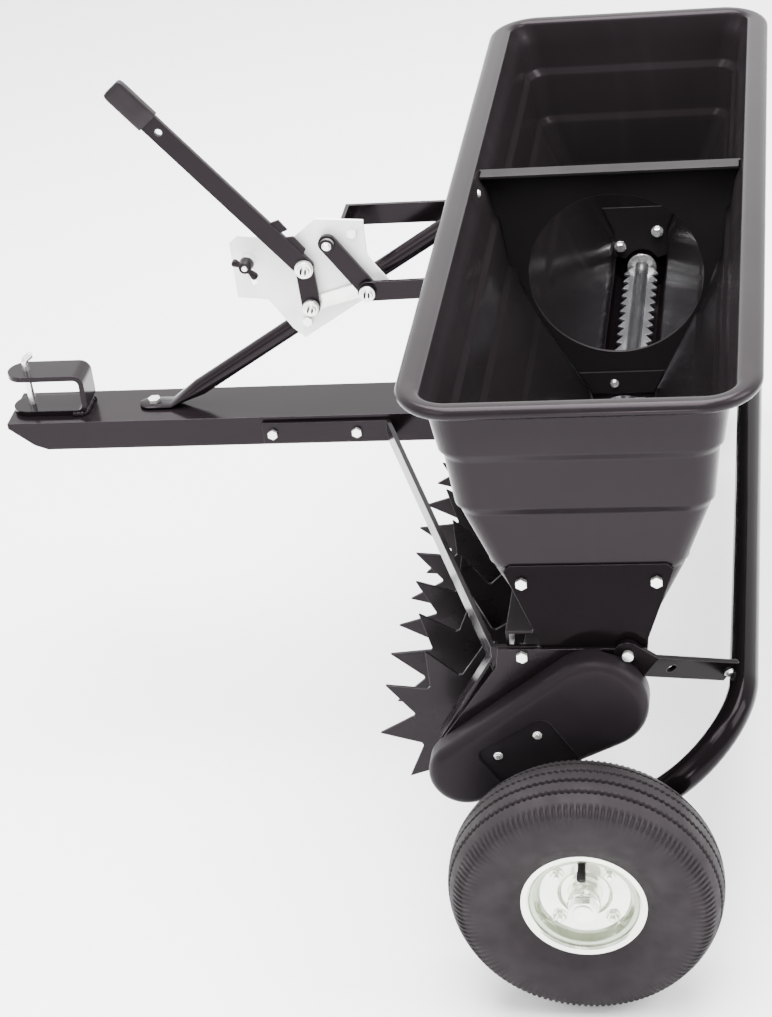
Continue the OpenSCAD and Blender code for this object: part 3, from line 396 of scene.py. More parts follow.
# Pieces whose finish differs from that of their slot; the end plates and straps get a darker copy of the black
# paint as painted shade, and the divider a paler one as painted fill light
SPECIAL = {
    "control_plate": SHEET,
    "end_plate_left": BLACK_SHADED,
    "end_plate_right": BLACK_SHADED,
    "transport_strap_left": BLACK_SHADED,
    "transport_strap_right": BLACK_SHADED,
    "hopper_divider": INNER_PAINTED_FILL,
    "agitator_blade": BLADE,
    "agitator_shaft": SHAFT,
}
for node, material in SPECIAL.items():
    nodes[node].data.materials[0] = material


# Hopper

HOPPER_HALF_W = (hopper_high.x - hopper_low.x) / 2 / MM
HOPPER_HALF_L = (hopper_high.y - hopper_low.y) / 2 / MM
RIM_Z = hopper_high.z / MM
THROAT_Z = hopper_low.z / MM
RIM_H = 13
RIM_CORNER = 58
RIM_OVERHANG = 15
MOUTH_CORNER = RIM_CORNER / 2
MOUTH_FLARE = 6
MOUTH_HALF = 133
THROAT_HALF = 38
THROAT_CORNER = 12
WALL = 4
LEDGES = (
    (THROAT_Z + 124, MOUTH_HALF - 43),
    (THROAT_Z + 187, MOUTH_HALF - 17),
    (THROAT_Z + 246, MOUTH_HALF - 6.5),
)
LEDGE_SIDE = 2.5
LEDGE_END = 1.2
END_TOP = HOPPER_HALF_L - RIM_OVERHANG
END_LOW = END_TOP - 16
LEAN_Z = THROAT_Z + 144
CORNER_STEPS = 12


def rounded_ring(z, half_x, half_y, radius):
    points = []
    for quarter, (sx, sy) in enumerate(((1, 1), (-1, 1), (-1, -1), (1, -1))):
        for i in range(CORNER_STEPS + 1):
            a = math.radians(90 * quarter + 90 * i / CORNER_STEPS)
            x = sx * (half_x - radius) + radius * math.cos(a)
            y = sy * (half_y - radius) + radius * math.sin(a)
            points.append((x, y, z))
    return points


def corner_at(z):
    share = (z - THROAT_Z) / (RIM_Z - THROAT_Z)
    return blend(THROAT_CORNER, MOUTH_CORNER, share)


def end_at(z):
    return blend(END_LOW, END_TOP, max(0, (z - LEAN_Z) / (RIM_Z - LEAN_Z)))


def wall_rings(inset):
    """Rings of the wall from the throat up, with a rounded step at each ledge."""
    steps = [(THROAT_Z, THROAT_HALF, 0), (THROAT_Z + 30, THROAT_HALF + 3, 0)]
    for z, half in LEDGES:
        for dz, share in ((-6, -1), (-2.5, -0.8), (2.5, 0.8), (6, 1)):
            steps.append((z + dz, half + share * LEDGE_SIDE, share * LEDGE_END))
    for drop, flare in ((32, 0), (24, 1.8), (17, 5), (RIM_H - 4, MOUTH_FLARE + WALL - 1)):
        steps.append((RIM_Z - drop, MOUTH_HALF + flare, 0))
    return [rounded_ring(z, half - inset, end_at(z) + step - inset, corner_at(z) - inset)
            for z, half, step in steps]


def rim_rings():
    """Rolled rim: (share of the way from the outer edge to the mouth, share of its height)."""
    steps = [(0.36 - 0.36 * math.cos(a), 0.5 - 0.5 * math.sin(a))
             for a in (math.radians(15 * i) for i in range(-5, 7))]
    steps += [(0.52, 0), (0.66, 0.012)]
    steps += [(0.66 + 0.34 * math.sin(a), 0.412 - 0.4 * math.cos(a))
              for a in (math.radians(15 * i) for i in range(1, 7))]
    rings = []
    for share, drop in steps:
        rings.append(rounded_ring(
            RIM_Z - drop * RIM_H,
            blend(HOPPER_HALF_W, MOUTH_HALF + MOUTH_FLARE, share),
            blend(HOPPER_HALF_L, END_TOP - WALL, share),
            blend(RIM_CORNER, corner_at(RIM_Z) - WALL, share),
        ))
    return rings


rings = wall_rings(0) + rim_rings() + wall_rings(WALL)[-2::-1]
piece("hopper_shell", loft(rings, closed=True), "chassis", PLASTIC, ["hopper"], sharp=60)

# Wheels

TYRE_R = (high_of("tyre_left").z - low_of("tyre_left").z) / 2
RIM_R = 64.5
TREAD_TURNS = 792
ZIGZAGS = 132
SHOULDER_RIBS = 132
GROOVES = (-20.5, -7, 7, 20.5)
GROOVE_HALF = 1.3
GROOVE_DEPTH = 4.4
ZIGZAG = 1.0
RIB_DEPTH = 2.6
TYRE_HALF_W = 43.0
SIDE_R, SIDE_BULGE, SIDE_TALL = 96.0, 13, 31
SHOULDER_R, SHOULDER_Y = 107.5, 30.6
BEAD_R, BEAD_Y = 54, 28


def smooth_step(value, low, high):
    t = min(max((value - low) / (high - low), 0), 1)
    return t * t * (3 - 2 * t)


def tyre_profile():
    """Outer line of the tyre from bead to bead as (radius, across), dense over the tread."""
    points = []
    for i in range(10):
        a = math.radians(blend(-62, 22, i / 9))
        across = TYRE_HALF_W - SIDE_BULGE + SIDE_BULGE * math.cos(a)
        points.append((SIDE_R + SIDE_TALL * math.sin(a), across))
    for i in range(1, 9):
        a = math.radians(blend(22, 70, i / 8))
        points.append((SHOULDER_R + 13.5 * math.sin(a), SHOULDER_Y + 12.0 * math.cos(a)))
    across = points[-1][1]
    top = points[-1][0]
    for i in range(1, 37):
        w = blend(across, 0, i / 36)
        drop = (TYRE_R - top) * (w / across) ** 2.4
        points.append((TYRE_R - drop, w))
    return points + [(r, -w) for r, w in points[-2::-1]]


def tread_depth(radius, across, turn):
    """How far the surface is cut in at one place of the tyre."""
    wave = abs((turn * ZIGZAGS) % 1 - 0.5) * 4 - 1
    depth = 0.0
    for groove in GROOVES:
        off = abs(across - groove - ZIGZAG * wave)
        side = smooth_step(off, GROOVE_HALF * 0.55, GROOVE_HALF * 1.25)
        depth = max(depth, GROOVE_DEPTH * (1 - side))
    if radius > 104 and abs(across) > 27:
        rib = 0.5 - 0.5 * math.cos(2 * math.pi * turn * SHOULDER_RIBS)
        band = smooth_step(radius, 106, 109) * (1 - smooth_step(radius, 120.5, 122.5))
        depth = max(depth, RIB_DEPTH * smooth_step(rib, 0.3, 0.8) * band)
    return depth


def tyre_shape():
    profile = tyre_profile()
    rings = []
    for k in range(TREAD_TURNS):
        turn = k / TREAD_TURNS
        c, s = math.cos(2 * math.pi * turn), math.sin(2 * math.pi * turn)
        ring = []
        for radius, across in profile:
            r = radius - tread_depth(radius, across, turn)
            ring.append((r * c, r * s, across))
        for radius, across in ((BEAD_R, -BEAD_Y), (BEAD_R, BEAD_Y)):
            ring.append((radius * c, radius * s, across))
        rings.append(ring)
    return loft(rings, closed=True)


AXLE_R = 9.5
HUB_R = 15.5
HUB_Y = 32
BOLT_RING = 35
FLANGE_Y = 31
DISH_Y = 12


def rim_shape():
    """Rim with a rolled flange, a stepped dish and a hub, outer side up."""
    outer = [
        (AXLE_R, HUB_Y), (HUB_R - 1, HUB_Y), (HUB_R, HUB_Y - 1), (HUB_R, DISH_Y - 1), (HUB_R + 1.5, DISH_Y - 3),
        (22.5, DISH_Y - 3), (24.5, DISH_Y - 1.6), (26, DISH_Y + 1.2), (28, DISH_Y + 2), (38, DISH_Y + 2),
        (42.5, DISH_Y + 3), (44.5, DISH_Y + 6), (46.5, 23), (47.5, 25.6), (49, 26.4), (51, 26.4),
        (52, FLANGE_Y - 2), (54, FLANGE_Y - 0.6), (RIM_R - 2.5, FLANGE_Y), (RIM_R - 0.8, FLANGE_Y - 0.4),
        (RIM_R, FLANGE_Y - 1.6), (RIM_R - 1, FLANGE_Y - 2.6), (54, FLANGE_Y - 3.2),
    ]
    inner = [
        (52.5, 0), (53, -26), (54, 3.2 - FLANGE_Y), (RIM_R - 1, 2.6 - FLANGE_Y), (RIM_R, 1.6 - FLANGE_Y),
        (RIM_R - 0.8, 0.4 - FLANGE_Y), (RIM_R - 2.5, -FLANGE_Y), (52, -FLANGE_Y), (50, -26), (49.5, 8),
        (42, DISH_Y - 3), (28, DISH_Y - 3), (24, DISH_Y - 7), (HUB_R, DISH_Y - 7), (HUB_R, 1 - HUB_Y),
        (HUB_R - 1, -HUB_Y), (AXLE_R, -HUB_Y),
    ]
    return lathe(outer + inner, 96, closed=True)


def dish_wall_shade():
    """Thin ring over the rim's wall between the dish and the flange, darker as a painted reflection of the dark
    surroundings.
    """
    front = [(44.2, DISH_Y + 6.2), (46.2, 23.2), (47.2, 25.9), (49, 26.7), (51, 26.7), (51.8, FLANGE_Y - 2)]
    back = [(52.4, FLANGE_Y - 3), (51, 25.6), (49, 25.6), (48.2, 24.9), (47.2, 22.4), (45.2, DISH_Y + 5.4)]
    return lathe(front + back, 96, closed=True)


def hex_head(radius, height, washer):
    """Chamfered hex head on a round washer, standing on Z = 0."""
    head = lathe([(radius * 0.9, 0.8), (radius, 1.3), (radius, height - 1), (radius * 0.86, height),
                  (0.2, height)], 6)
    disc = lathe([(washer - 0.3, 0), (washer, 0.3), (washer, 0.9), (washer - 0.3, 1.2), (0.2, 1.2)], 32)
    return joined(head, disc)


def rim_bolts():
    """Four hex bolts with their threaded ends, on the dish."""
    shapes = []
    for i in range(4):
        a = math.radians(45 + 90 * i)
        at = Vector((BOLT_RING * math.cos(a), BOLT_RING * math.sin(a), DISH_Y + 2))
        shapes.append(moved(hex_head(6, 5, 7), Matrix.Translation(at)))
        shapes.append(moved(lathe([(2.8, 4), (2.8, 7.5), (2.2, 8), (0.2, 8)], 20), Matrix.Translation(at)))
    return joined(*shapes)


def valve_shape():
    """Valve stem that leans out of the rim's well."""
    stem = lathe([(4.6, 0), (4.6, 5), (3.9, 7), (3.6, 17), (4.2, 17.6), (4.2, 25.4), (3.3, 26.6),
                  (0.2, 26.6)], 24)
    return moved(stem, pointing((0, -12, 25), Vector((0, 46, 12))))


for side, sign in (("left", 1), ("right", -1)):
    body = f"{side}_wheel"
    centre = middle_of(f"wheel_rim_{side}")
    place = Matrix.Translation(centre) @ Matrix.Rotation(math.radians(90 * sign), 4, "X")
    upright = Matrix.Rotation(0 if sign > 0 else math.pi, 4, "Z")
    tyre = joined(tyre_shape(), moved(valve_shape(), upright))
    piece(f"tread_{side}", moved(tyre, place), body, TYRE, [f"tyre_{side}"], sharp=50)
    rim = joined(rim_shape(), rim_bolts())
    piece(f"rim_{side}", moved(rim, place), body, RIM, [f"wheel_rim_{side}"], sharp=30)
    # Thin dark ring on the rim's wall: painted reflection
    piece(f"dish_wall_shade_{side}", moved(dish_wall_shade(), place), body, RIM_WALL_SHADE, sharp=30)

# Drive cover, with a notch for the strap of the wheel frame

TUBE_R = 14
SPIKER = middle_of("spiker_pulley")
AGITATOR = middle_of("agitator_pulley")
COVER_LOW_R = 35
COVER_HIGH_R = 50
COVER_OPEN = high_of("belt_cover").y
COVER_FACE = low_of("belt_cover").y
COVER_ROUND = 11
POCKET_DEPTH = 3
SCREWS = ((SPIKER.x + 35, SPIKER.z + 25), (SPIKER.x + 74, SPIKER.z + 49))


def pear(inset, steps=28):
    """Line round both pulleys: two arcs joined by their tangents."""
    r0, r1 = COVER_LOW_R - inset, COVER_HIGH_R - inset
    dx, dz = AGITATOR.x - SPIKER.x, AGITATOR.z - SPIKER.z
    along = math.degrees(math.atan2(dz, dx))
    lean = math.degrees(math.acos((r0 - r1) / math.hypot(dx, dz)))
    upper = arc((AGITATOR.x, AGITATOR.z), r1, along - lean, along + lean, steps)
    lower = arc((SPIKER.x, SPIKER.z), r0, along + lean, along + 360 - lean, steps)
    return upper + lower


def cover_shape():
    """Pear with a flat face and a rounded edge, open towards the side plate."""
    rings = [[(x, COVER_OPEN, z) for x, z in pear(0)]]
    for i in range(9):
        a = math.radians(90 * i / 8)
        inset = COVER_ROUND * (1 - math.cos(a))
        y = COVER_FACE + COVER_ROUND * (1 - math.sin(a))
        rings.append([(x, y, z) for x, z in pear(inset)])
    rings.append([(x, COVER_FACE, z) for x, z in pear(COVER_ROUND + 6)])
    return loft(rings)


def pocket_shape():
    """Rounded pocket round the two screws, open towards the cover's lower edge."""
    mid = Vector(((SCREWS[0][0] + SCREWS[1][0]) / 2, 0, (SCREWS[0][1] + SCREWS[1][1]) / 2))
    along = math.atan2(SCREWS[1][1] - SCREWS[0][1], SCREWS[1][0] - SCREWS[0][0])
    outline = arc((30, 4), 12, 0, 90, 8) + arc((-28, 4), 12, 90, 180, 8) + [(-40, -60), (42, -60)]
    c, s = math.cos(along), math.sin(along)
    turned = [(mid.x + x * c - z * s, mid.z + x * s + z * c) for x, z in outline]
    return slab(turned, COVER_FACE - 10, COVER_FACE + POCKET_DEPTH)


CUT_SHARP = math.radians(40)


def cut_by(obj, shape, name):
    """Cuts a shape out of a piece's mesh for good."""
    mesh = bpy.data.meshes.new(name)
    mesh.from_pydata(in_row(shape[0]), [], shape[1])
    bm = bmesh.new()
    bm.from_mesh(mesh)
    bmesh.ops.recalc_face_normals(bm, faces=bm.faces)
    bm.to_mesh(mesh)
    bm.free()
    cutter = bpy.data.objects.new(name, mesh)
    bpy.context.scene.collection.objects.link(cutter)
    cut = obj.modifiers.new("cut", "BOOLEAN")
    cut.operation = "DIFFERENCE"
    cut.solver = "EXACT"
    cut.object = cutter
    bpy.context.view_layer.update()
    result = bpy.data.meshes.new_from_object(obj.evaluated_get(bpy.context.evaluated_depsgraph_get()))
    obj.modifiers.remove(cut)
    bm = bmesh.new()
    bm.from_mesh(result)
    bmesh.ops.remove_doubles(bm, verts=bm.verts, dist=1e-6)
    for edge in bm.edges:
        edge.smooth = len(edge.link_faces) == 2 and edge.calc_face_angle(0) < CUT_SHARP
    bm.to_mesh(result)
    bm.free()
    obj.data = result
    bpy.data.objects.remove(cutter)


STRAP_PIVOT = middle_of("transport_pivots")
CROSS = Vector((high_of("transport_tube").x - TUBE_R, 0, high_of("transport_tube").z - TUBE_R))
STRAP_H = 25


def notch_shape():
    """Room for the strap of the wheel frame behind the cover's rear edge."""
    turn = math.atan2(CROSS.z - STRAP_PIVOT.z, CROSS.x - STRAP_PIVOT.x)
    low = -STRAP_H / 2 - 1
    corners = [(-40, low), (40, low), (40, STRAP_H), (-40, STRAP_H)]
    outline = [(STRAP_PIVOT.x + x * math.cos(turn) - z * math.sin(turn),
                STRAP_PIVOT.z + x * math.sin(turn) + z * math.cos(turn)) for x, z in corners]
    return slab(outline, low_of("transport_strap_left").y - 0.5, COVER_OPEN + 5)


cover = piece("drive_cover", cover_shape(), "chassis", COVER, ["belt_cover"], sharp=40)
cut_by(cover, pocket_shape(), "pocket")
cut_by(cover, notch_shape(), "notch")

NEAR = (0, -1, 0)
screws = []
for x, z in SCREWS:
    screws.append(moved(hex_head(3.6, 3, 4.4), pointing(NEAR, (x, COVER_FACE + POCKET_DEPTH, z))))
piece("cover_screw_heads", joined(*screws), "chassis", ZINC, ["cover_screws"], sharp=30)

# Braces of the tow bar and folded front edges of the side plates

BRACE_H = 25
BRACE_T = 5
BRACE_DROP = 12
BRACE_KNEE_X = -250
BRACE_END_X = -95
FLANGE_LINE = ((-96, 324.2), (-156, 225.8))
FLANGE_T = 3
FLANGE_DEPTH = 26


def brace_shape(side):
    """Flat bar on edge, bent twice in plan, whose rear end lies a little lower than its front end."""
    low, high = low_of("tow_brace_left"), high_of("tow_brace_left")
    front = (low.z + high.z) / 2
    rear = front - BRACE_DROP
    inner, outer = high.y - BRACE_T / 2, low.y + BRACE_T / 2
    path = [Vector((low.x, inner, front)), Vector((BRACE_KNEE_X, inner, front)),
            Vector((BRACE_END_X, outer, rear)), Vector((high.x, outer, rear))]
    rings = []
    for i, point in enumerate(path):
        before = (point - path[max(i - 1, 0)]).to_2d()
        after = (path[min(i + 1, 3)] - point).to_2d()
        units = [v.normalized() for v in (before, after) if v.length > 0]
        along = sum(units, Vector((0, 0))).normalized()
        across = Vector((-along.y, along.x)) * BRACE_T / 2 / max(along.dot(units[0]), 0.5)
        ring = []
        for sign, z in ((1, -1), (1, 1), (-1, 1), (-1, -1)):
            x, y = point.x + sign * across.x, point.y + sign * across.y
            ring.append((x, side * y, point.z + z * BRACE_H / 2))
        rings.append(ring)
    return loft(rings)


for name, side in (("left", 1), ("right", -1)):
    replaced = [f"tow_brace_{name}"]
    piece(f"brace_bar_{name}", brace_shape(side), "chassis", BLACK, replaced, bevel=0.6)

edge_top, edge_low = (Vector(p) for p in FLANGE_LINE)
run = (edge_low - edge_top).normalized()
inward = Vector((-run.y, run.x)) * FLANGE_T
strip = [tuple(p) for p in (edge_top, edge_low, edge_low + inward, edge_top + inward)]
plate_near, plate_far = high_of("side_plate_left").y, low_of("side_plate_right").y
flanges = [slab(strip, plate_near, plate_near + FLANGE_DEPTH),
           slab(strip, plate_far - FLANGE_DEPTH, plate_far)]
piece("side_flanges", joined(*flanges), "chassis", BLACK, bevel=0.5)

# Wheel frame: bent tube

TUBE_BEND = 88
WHEEL = middle_of("wheel_rim_left")
ARM_Y = high_of("transport_tube").y - TUBE_R


def frame_path():
    """Centre line from the left wheel's end over the cross run to the right wheel's end."""
    hub = Vector((WHEEL.x, 0, WHEEL.z))
    arm = (CROSS - hub).normalized()
    tail = hub - arm * 16
    half = []
    for share in (0, 0.33, 0.66):
        half.append(tail.lerp(CROSS - arm * TUBE_BEND, share) + Vector((0, -ARM_Y, 0)))
    for i in range(17):
        a = math.radians(90 * i / 16)
        back = CROSS - arm * TUBE_BEND * (1 - math.sin(a))
        half.append(back + Vector((0, -ARM_Y + TUBE_BEND * (1 - math.cos(a)), 0)))
    half.append(CROSS + Vector((0, -ARM_Y / 3, 0)))
    return half + [Vector((p.x, -p.y, p.z)) for p in reversed(half)]


def tube_along(path, radius, steps=40):
    """Round tube along a path, with frames carried along it so that it doesn't twist."""
    rings = []
    across = Vector((0, 0, 1))
    for i, point in enumerate(path):
        along = (path[min(i + 1, len(path) - 1)] - path[max(i - 1, 0)]).normalized()
        across = (across - along * across.dot(along)).normalized()
        other = along.cross(across)
        turns = [2 * math.pi * k / steps for k in range(steps)]
        rings.append([point + radius * (across * math.cos(a) + other * math.sin(a)) for a in turns])
    return loft(rings)


bent_tube = tube_along(frame_path(), TUBE_R)
piece("bent_tube", bent_tube, "transport_frame", TUBE_SHADED, ["transport_tube"])

# Bolts that hold the straps to the bent tube

STRAP_KNEE = 24
STRAP_T = 5


def strap_bolts():
    """A hex head on the tube end of each strap, square to the strap's slanted face."""
    to_tube = CROSS - Vector((STRAP_PIVOT.x, 0, STRAP_PIVOT.z))
    unit = to_tube.normalized()
    outer = high_of("transport_strap_right").y - STRAP_T / 2
    inner = low_of("transport_strap_right").y + STRAP_T / 2
    reach = to_tube.length - TUBE_R - 0.2 - STRAP_T / 2
    slant = math.atan2(outer - inner, reach - STRAP_KNEE)
    at = reach - 2
    shapes = []
    for sign in (-1, 1):
        middle = Vector((STRAP_PIVOT.x, 0, STRAP_PIVOT.z)) + unit * at
        middle.y = sign * (outer - (at - STRAP_KNEE) * math.tan(slant))
        normal = unit * math.sin(slant) + Vector((0, sign * math.cos(slant), 0))
        shapes.append(moved(hex_head(4.2, 3.6, 5), pointing(normal, middle + normal * STRAP_T / 2)))
    return joined(*shapes)


piece("strap_bolts", strap_bolts(), "transport_frame", ZINC, sharp=30)

# Control tube with flattened ends

CONTROL_R = 9.5
FOOT_HALF = 13
PAD_HALF = 14
PAD_DOWN = 34
PAD_T = 4
FOOT = low_of("control_tube")
TUBE_LOW = Vector((-470, 0, FOOT.z + 17))
TUBE_HIGH = Vector((-163, 0, FOOT.z + 209))
TUBE_END_X = high_of("control_tube").x


def control_tube_shape():
    """Rounded flat foot, sloping round run and a level end against the hopper."""
    base = FOOT.z + 2.2
    path, sections = [], []
    for i in range(10):
        a = math.radians(90 * i / 9)
        path.append(Vector((FOOT.x + 0.3 + 12.7 * (1 - math.cos(a)), 0, base)))
        sections.append((max(FOOT_HALF * math.sin(a), 1.5), 2.1))
    flat_end = Vector((FOOT.x + 38, 0, base + 0.4))
    path.append(flat_end)
    sections.append((FOOT_HALF, 2.3))
    for share in (0.25, 0.5, 0.75, 1.0):
        path.append(flat_end.lerp(TUBE_LOW + Vector((6, 0, 3.75)), share))
        sections.append((blend(FOOT_HALF, CONTROL_R, share), blend(2.6, CONTROL_R, share)))
    for share in (0.3, 0.6, 0.9, 0.96):
        path.append(TUBE_LOW.lerp(TUBE_HIGH, share))
        sections.append((CONTROL_R, CONTROL_R))
    for on, drop in ((3, 1), (12, 0)):
        path.append(TUBE_HIGH + Vector((on, 0, -drop)))
        sections.append((CONTROL_R, CONTROL_R))
    path.append(Vector((TUBE_END_X - 4, 0, TUBE_HIGH.z)))
    sections.append((CONTROL_R, CONTROL_R))
    return sweep(path, sections, 36)


tongue = loft([
    [(x, y, z) for y, z in ((-PAD_HALF, TUBE_HIGH.z - PAD_DOWN), (PAD_HALF, TUBE_HIGH.z - PAD_DOWN),
                            (PAD_HALF, TUBE_HIGH.z + PAD_HALF), (-PAD_HALF, TUBE_HIGH.z + PAD_HALF))]
    for x in (TUBE_END_X - 0.2 - PAD_T, TUBE_END_X - 0.2)
])
tube_skin = joined(control_tube_shape(), tongue)
piece("control_tube_skin", tube_skin, "chassis", BLACK, ["control_tube"], sharp=40)

# Lever grip

GRIP_L = 52
GRIP_W = 26
GRIP_T = 10
LEVER_ANGLE = 129.7
LEVER_PIVOT = Vector((-323, 0, FOOT.z + 171.8))
LEVER_L = 277
# (way along the grip, share of its full section)
GRIP_SHARES = ((0, 0.94), (0.6, 1), (14, 1), (28, 1), (42, 1), (47, 0.985), (50, 0.94), (51.4, 0.86), (52, 0.7))


def grip_shape():
    """Dipped grip: rounded block with a soft nose, along the lever."""
    along = Vector((math.cos(math.radians(LEVER_ANGLE)), 0, math.sin(math.radians(LEVER_ANGLE))))
    middle_y = middle_of("lever_grip").y
    path, sections = [], []
    for s, share in GRIP_SHARES:
        path.append(LEVER_PIVOT + along * (LEVER_L - GRIP_L + s) + Vector((0, middle_y, 0)))
        sections.append((GRIP_T / 2 * share, GRIP_W / 2 * share))
    return sweep(path, sections, 48, power=7.0)


piece("grip", grip_shape(), "lever", VINYL, ["lever_grip"], sharp=45)

# Slotted heads of the linkage's pivots

WASHER_T = 2.0
HEAD_H = 4.4
HEAD_GAP = 4.6
SLOT_LOW, SLOT_HIGH = 4.0, 4.9


def slotted_head(radius, height):
    """Washer with a head of two half rounds."""
    profile = [(radius - 0.4, 0), (radius, 0.4), (radius, 1.6), (radius - 0.4, WASHER_T), (0.2, WASHER_T)]
    washer = lathe(profile, 40)
    shapes = [washer]
    r = radius * 0.62
    for half in (0, 180):
        angles = [math.radians(a) for a in range(10, 171, 16)]
        rounds = [(r * math.cos(a), 1.0 + r * math.sin(a)) for a in angles]
        low = [(x, y, WASHER_T) for x, y in rounds]
        high = [(x * 0.9, 1.0 + (y - 1.0) * 0.9, height) for x, y in rounds]
        shapes.append(moved(loft([low, high]), Matrix.Rotation(math.radians(half), 4, "Z")))
    return joined(*shapes)


def slot_shade_marks(radius):
    """Two dark ovals side by side on the head's top, painted as the shade in the slots."""
    slot_shades = []
    for sign in (1, -1):
        ring = [(radius * (0.26 * sign + 0.13 * math.cos(a)), 0.42 * radius * math.sin(a))
                for a in (math.radians(30 * i) for i in range(12))]
        slot_shades.append(loft([[(u, v, w) for u, v in ring] for w in (SLOT_LOW, SLOT_HIGH)]))
    return joined(*slot_shades)


def head_at(name, x, z, y, radius, body, turn):
    """Head and dark ovals painted as the shade in its slots, at a pivot, turned by an angle in degrees."""
    place = pointing(NEAR, (x, y, z))
    head = moved(slotted_head(radius, HEAD_H), Matrix.Rotation(math.radians(turn), 4, "Z"))
    piece(name, moved(head, place), body, ZINC, sharp=30)
    slot_shades = moved(slot_shade_marks(radius), Matrix.Rotation(math.radians(turn - 90), 4, "Z"))
    piece(f"{name}_slots", moved(slot_shades, place), body, SPIKE, sharp=30)


ARM_PIN = LEVER_PIVOT + Vector((2, 0, -45.5))
CRANK_PIN = LEVER_PIVOT + Vector((66, 0, -28))
LEVER_FACE = low_of("control_lever").y
head_at("lever_washer", LEVER_PIVOT.x, LEVER_PIVOT.z, LEVER_FACE - HEAD_GAP, 9.2, "chassis", 80)
head_at("arm_washer", ARM_PIN.x, ARM_PIN.z, LEVER_FACE - HEAD_GAP, 8.6, "link", 78)
head_at("crank_washer", CRANK_PIN.x, CRANK_PIN.z, low_of("control_crank").y - 0.1, 8.8, "crank", 85)

CRANK_PIVOT = LEVER_PIVOT + Vector((28, 0, 27))
at_crank = pointing(NEAR, (CRANK_PIVOT.x, LEVER_FACE - 4.5, CRANK_PIVOT.z))
cap = lathe([(5, 0), (7.8, 0), (7.9, 0.5), (7.4, 1), (5, 1.1)], 40, closed=True)
piece("crank_collar", moved(cap, at_crank), "chassis", SPIKE, sharp=30)
piece("crank_nut", moved(hex_head(4.4, 3.4, 5.2), at_crank), "chassis", ZINC, sharp=30)

# Two tabs on the rear edge of the lever, as (along the lever, out from its middle line)

TABS = (
    ((61.0, 9.4), (57.0, 19.6), (42.5, 18.8), (45.5, 9.4)),
    ((39.0, 9.4), (33.0, 17.6), (14.0, 16.6), (11.0, 9.4)),
)


def lever_tabs():
    """Both tabs, in the lever's own plane."""
    a = math.radians(LEVER_ANGLE)
    along, out = Vector((math.cos(a), 0, math.sin(a))), Vector((math.sin(a), 0, -math.cos(a)))
    shapes = []
    for tab in TABS:
        corners = [LEVER_PIVOT + along * s + out * t for s, t in tab]
        shapes.append(slab([(c.x, c.z) for c in corners], LEVER_FACE + 1.2, LEVER_FACE + 4.2))
    return joined(*shapes)


piece("lever_tabs", lever_tabs(), "lever", BLACK, bevel=0.5)

# Wing nut of the stop

WING = middle_of("wing_nut")
# (direction in X, direction in Z, reach) of each ear
EARS = ((-1.0, 0.5, 13.5), (0.62, -0.78, 17.5))
# (share of the reach, half width, half depth) along an ear
EAR_SECTIONS = ((0.25, 2.8, 3.0), (0.45, 2.8, 3.2), (0.6, 3.6, 3.6), (0.75, 4.3, 3.9),
                (0.9, 4.0, 3.7), (0.97, 2.8, 2.8), (1.0, 1.2, 1.4))


def wing_nut_shape():
    """Hub as long as the bolt's end, with two rounded ears near its tip."""
    far = high_of("wing_nut").y
    tall = far - low_of("stop_bolt").y - 0.6
    profile = [(4.2, 0), (7.8, 0), (8, 0.6), (7, 5), (6.6, tall - 1), (6, tall), (4.2, tall)]
    hub = moved(lathe(profile, 32, closed=True), pointing(NEAR, (WING.x, far, WING.z)))
    shapes = [hub]
    for x, z, reach in EARS:
        path, sections = [], []
        for share, wide, deep in EAR_SECTIONS:
            on = reach * share
            path.append(Vector((WING.x + x * on, far - tall + 4.2, WING.z + z * on)))
            sections.append((deep, wide))
        shapes.append(sweep(path, sections, 20, power=2.4, side=Vector((0, 1, 0))))
    return joined(*shapes)


piece("stop_wing_nut", wing_nut_shape(), "wing", SPIKE, ["wing_nut"], sharp=40)

# Hitch pin: rod with a bent head

PIN_R = 4
PIN_BEND = 6
PIN = Vector((low_of("hitch_pin").x + PIN_R, 0, 0))
CLEVIS_LOW, CLEVIS_HIGH = low_of("hitch_clevis"), high_of("hitch_clevis")


def hitch_pin_shape():
    """Rod through the clevis whose top end is bent over."""
    low, top = low_of("hitch_pin").z, CLEVIS_HIGH.z + 9
    out = Vector((math.cos(math.radians(20)), math.sin(math.radians(20)), 0))
    path = [Vector((PIN.x, 0, z)) for z in (low, low + 2, low + 25, low + 50, top - 2)]
    for i in range(1, 8):
        a = math.radians(62 * i / 7)
        path.append(Vector((PIN.x, 0, top + PIN_BEND * math.sin(a))) + out * PIN_BEND * (1 - math.cos(a)))
    tip = (path[-1] - path[-2]).normalized()
    path += [path[-1] + tip * 6, path[-1] + tip * 7]
    radii = [PIN_R - 1] + [PIN_R] * (len(path) - 2) + [PIN_R - 1.2]
    return sweep(path, [(r, r) for r in radii], 28)


piece("hitch_pin_rod", hitch_pin_shape(), "hitch_pin_body", ZINC, ["hitch_pin"], sharp=40)


def weld_bead(start, end, radius, ripples):
    """Rippled bead between two points."""
    path, sections = [], []
    for i in range(ripples * 6 + 1):
        share = i / (ripples * 6)
        swell = 1 + 0.16 * math.sin(2 * math.pi * share * ripples) + 0.08 * math.sin(17 * share + start.y)
        taper = min(1, 0.45 + 6 * min(share, 1 - share))
        path.append(start.lerp(end, share))
        sections.append((radius * swell * taper, radius * swell * taper))
    return sweep(path, sections, 16, side=Vector((0, 0, 1)))


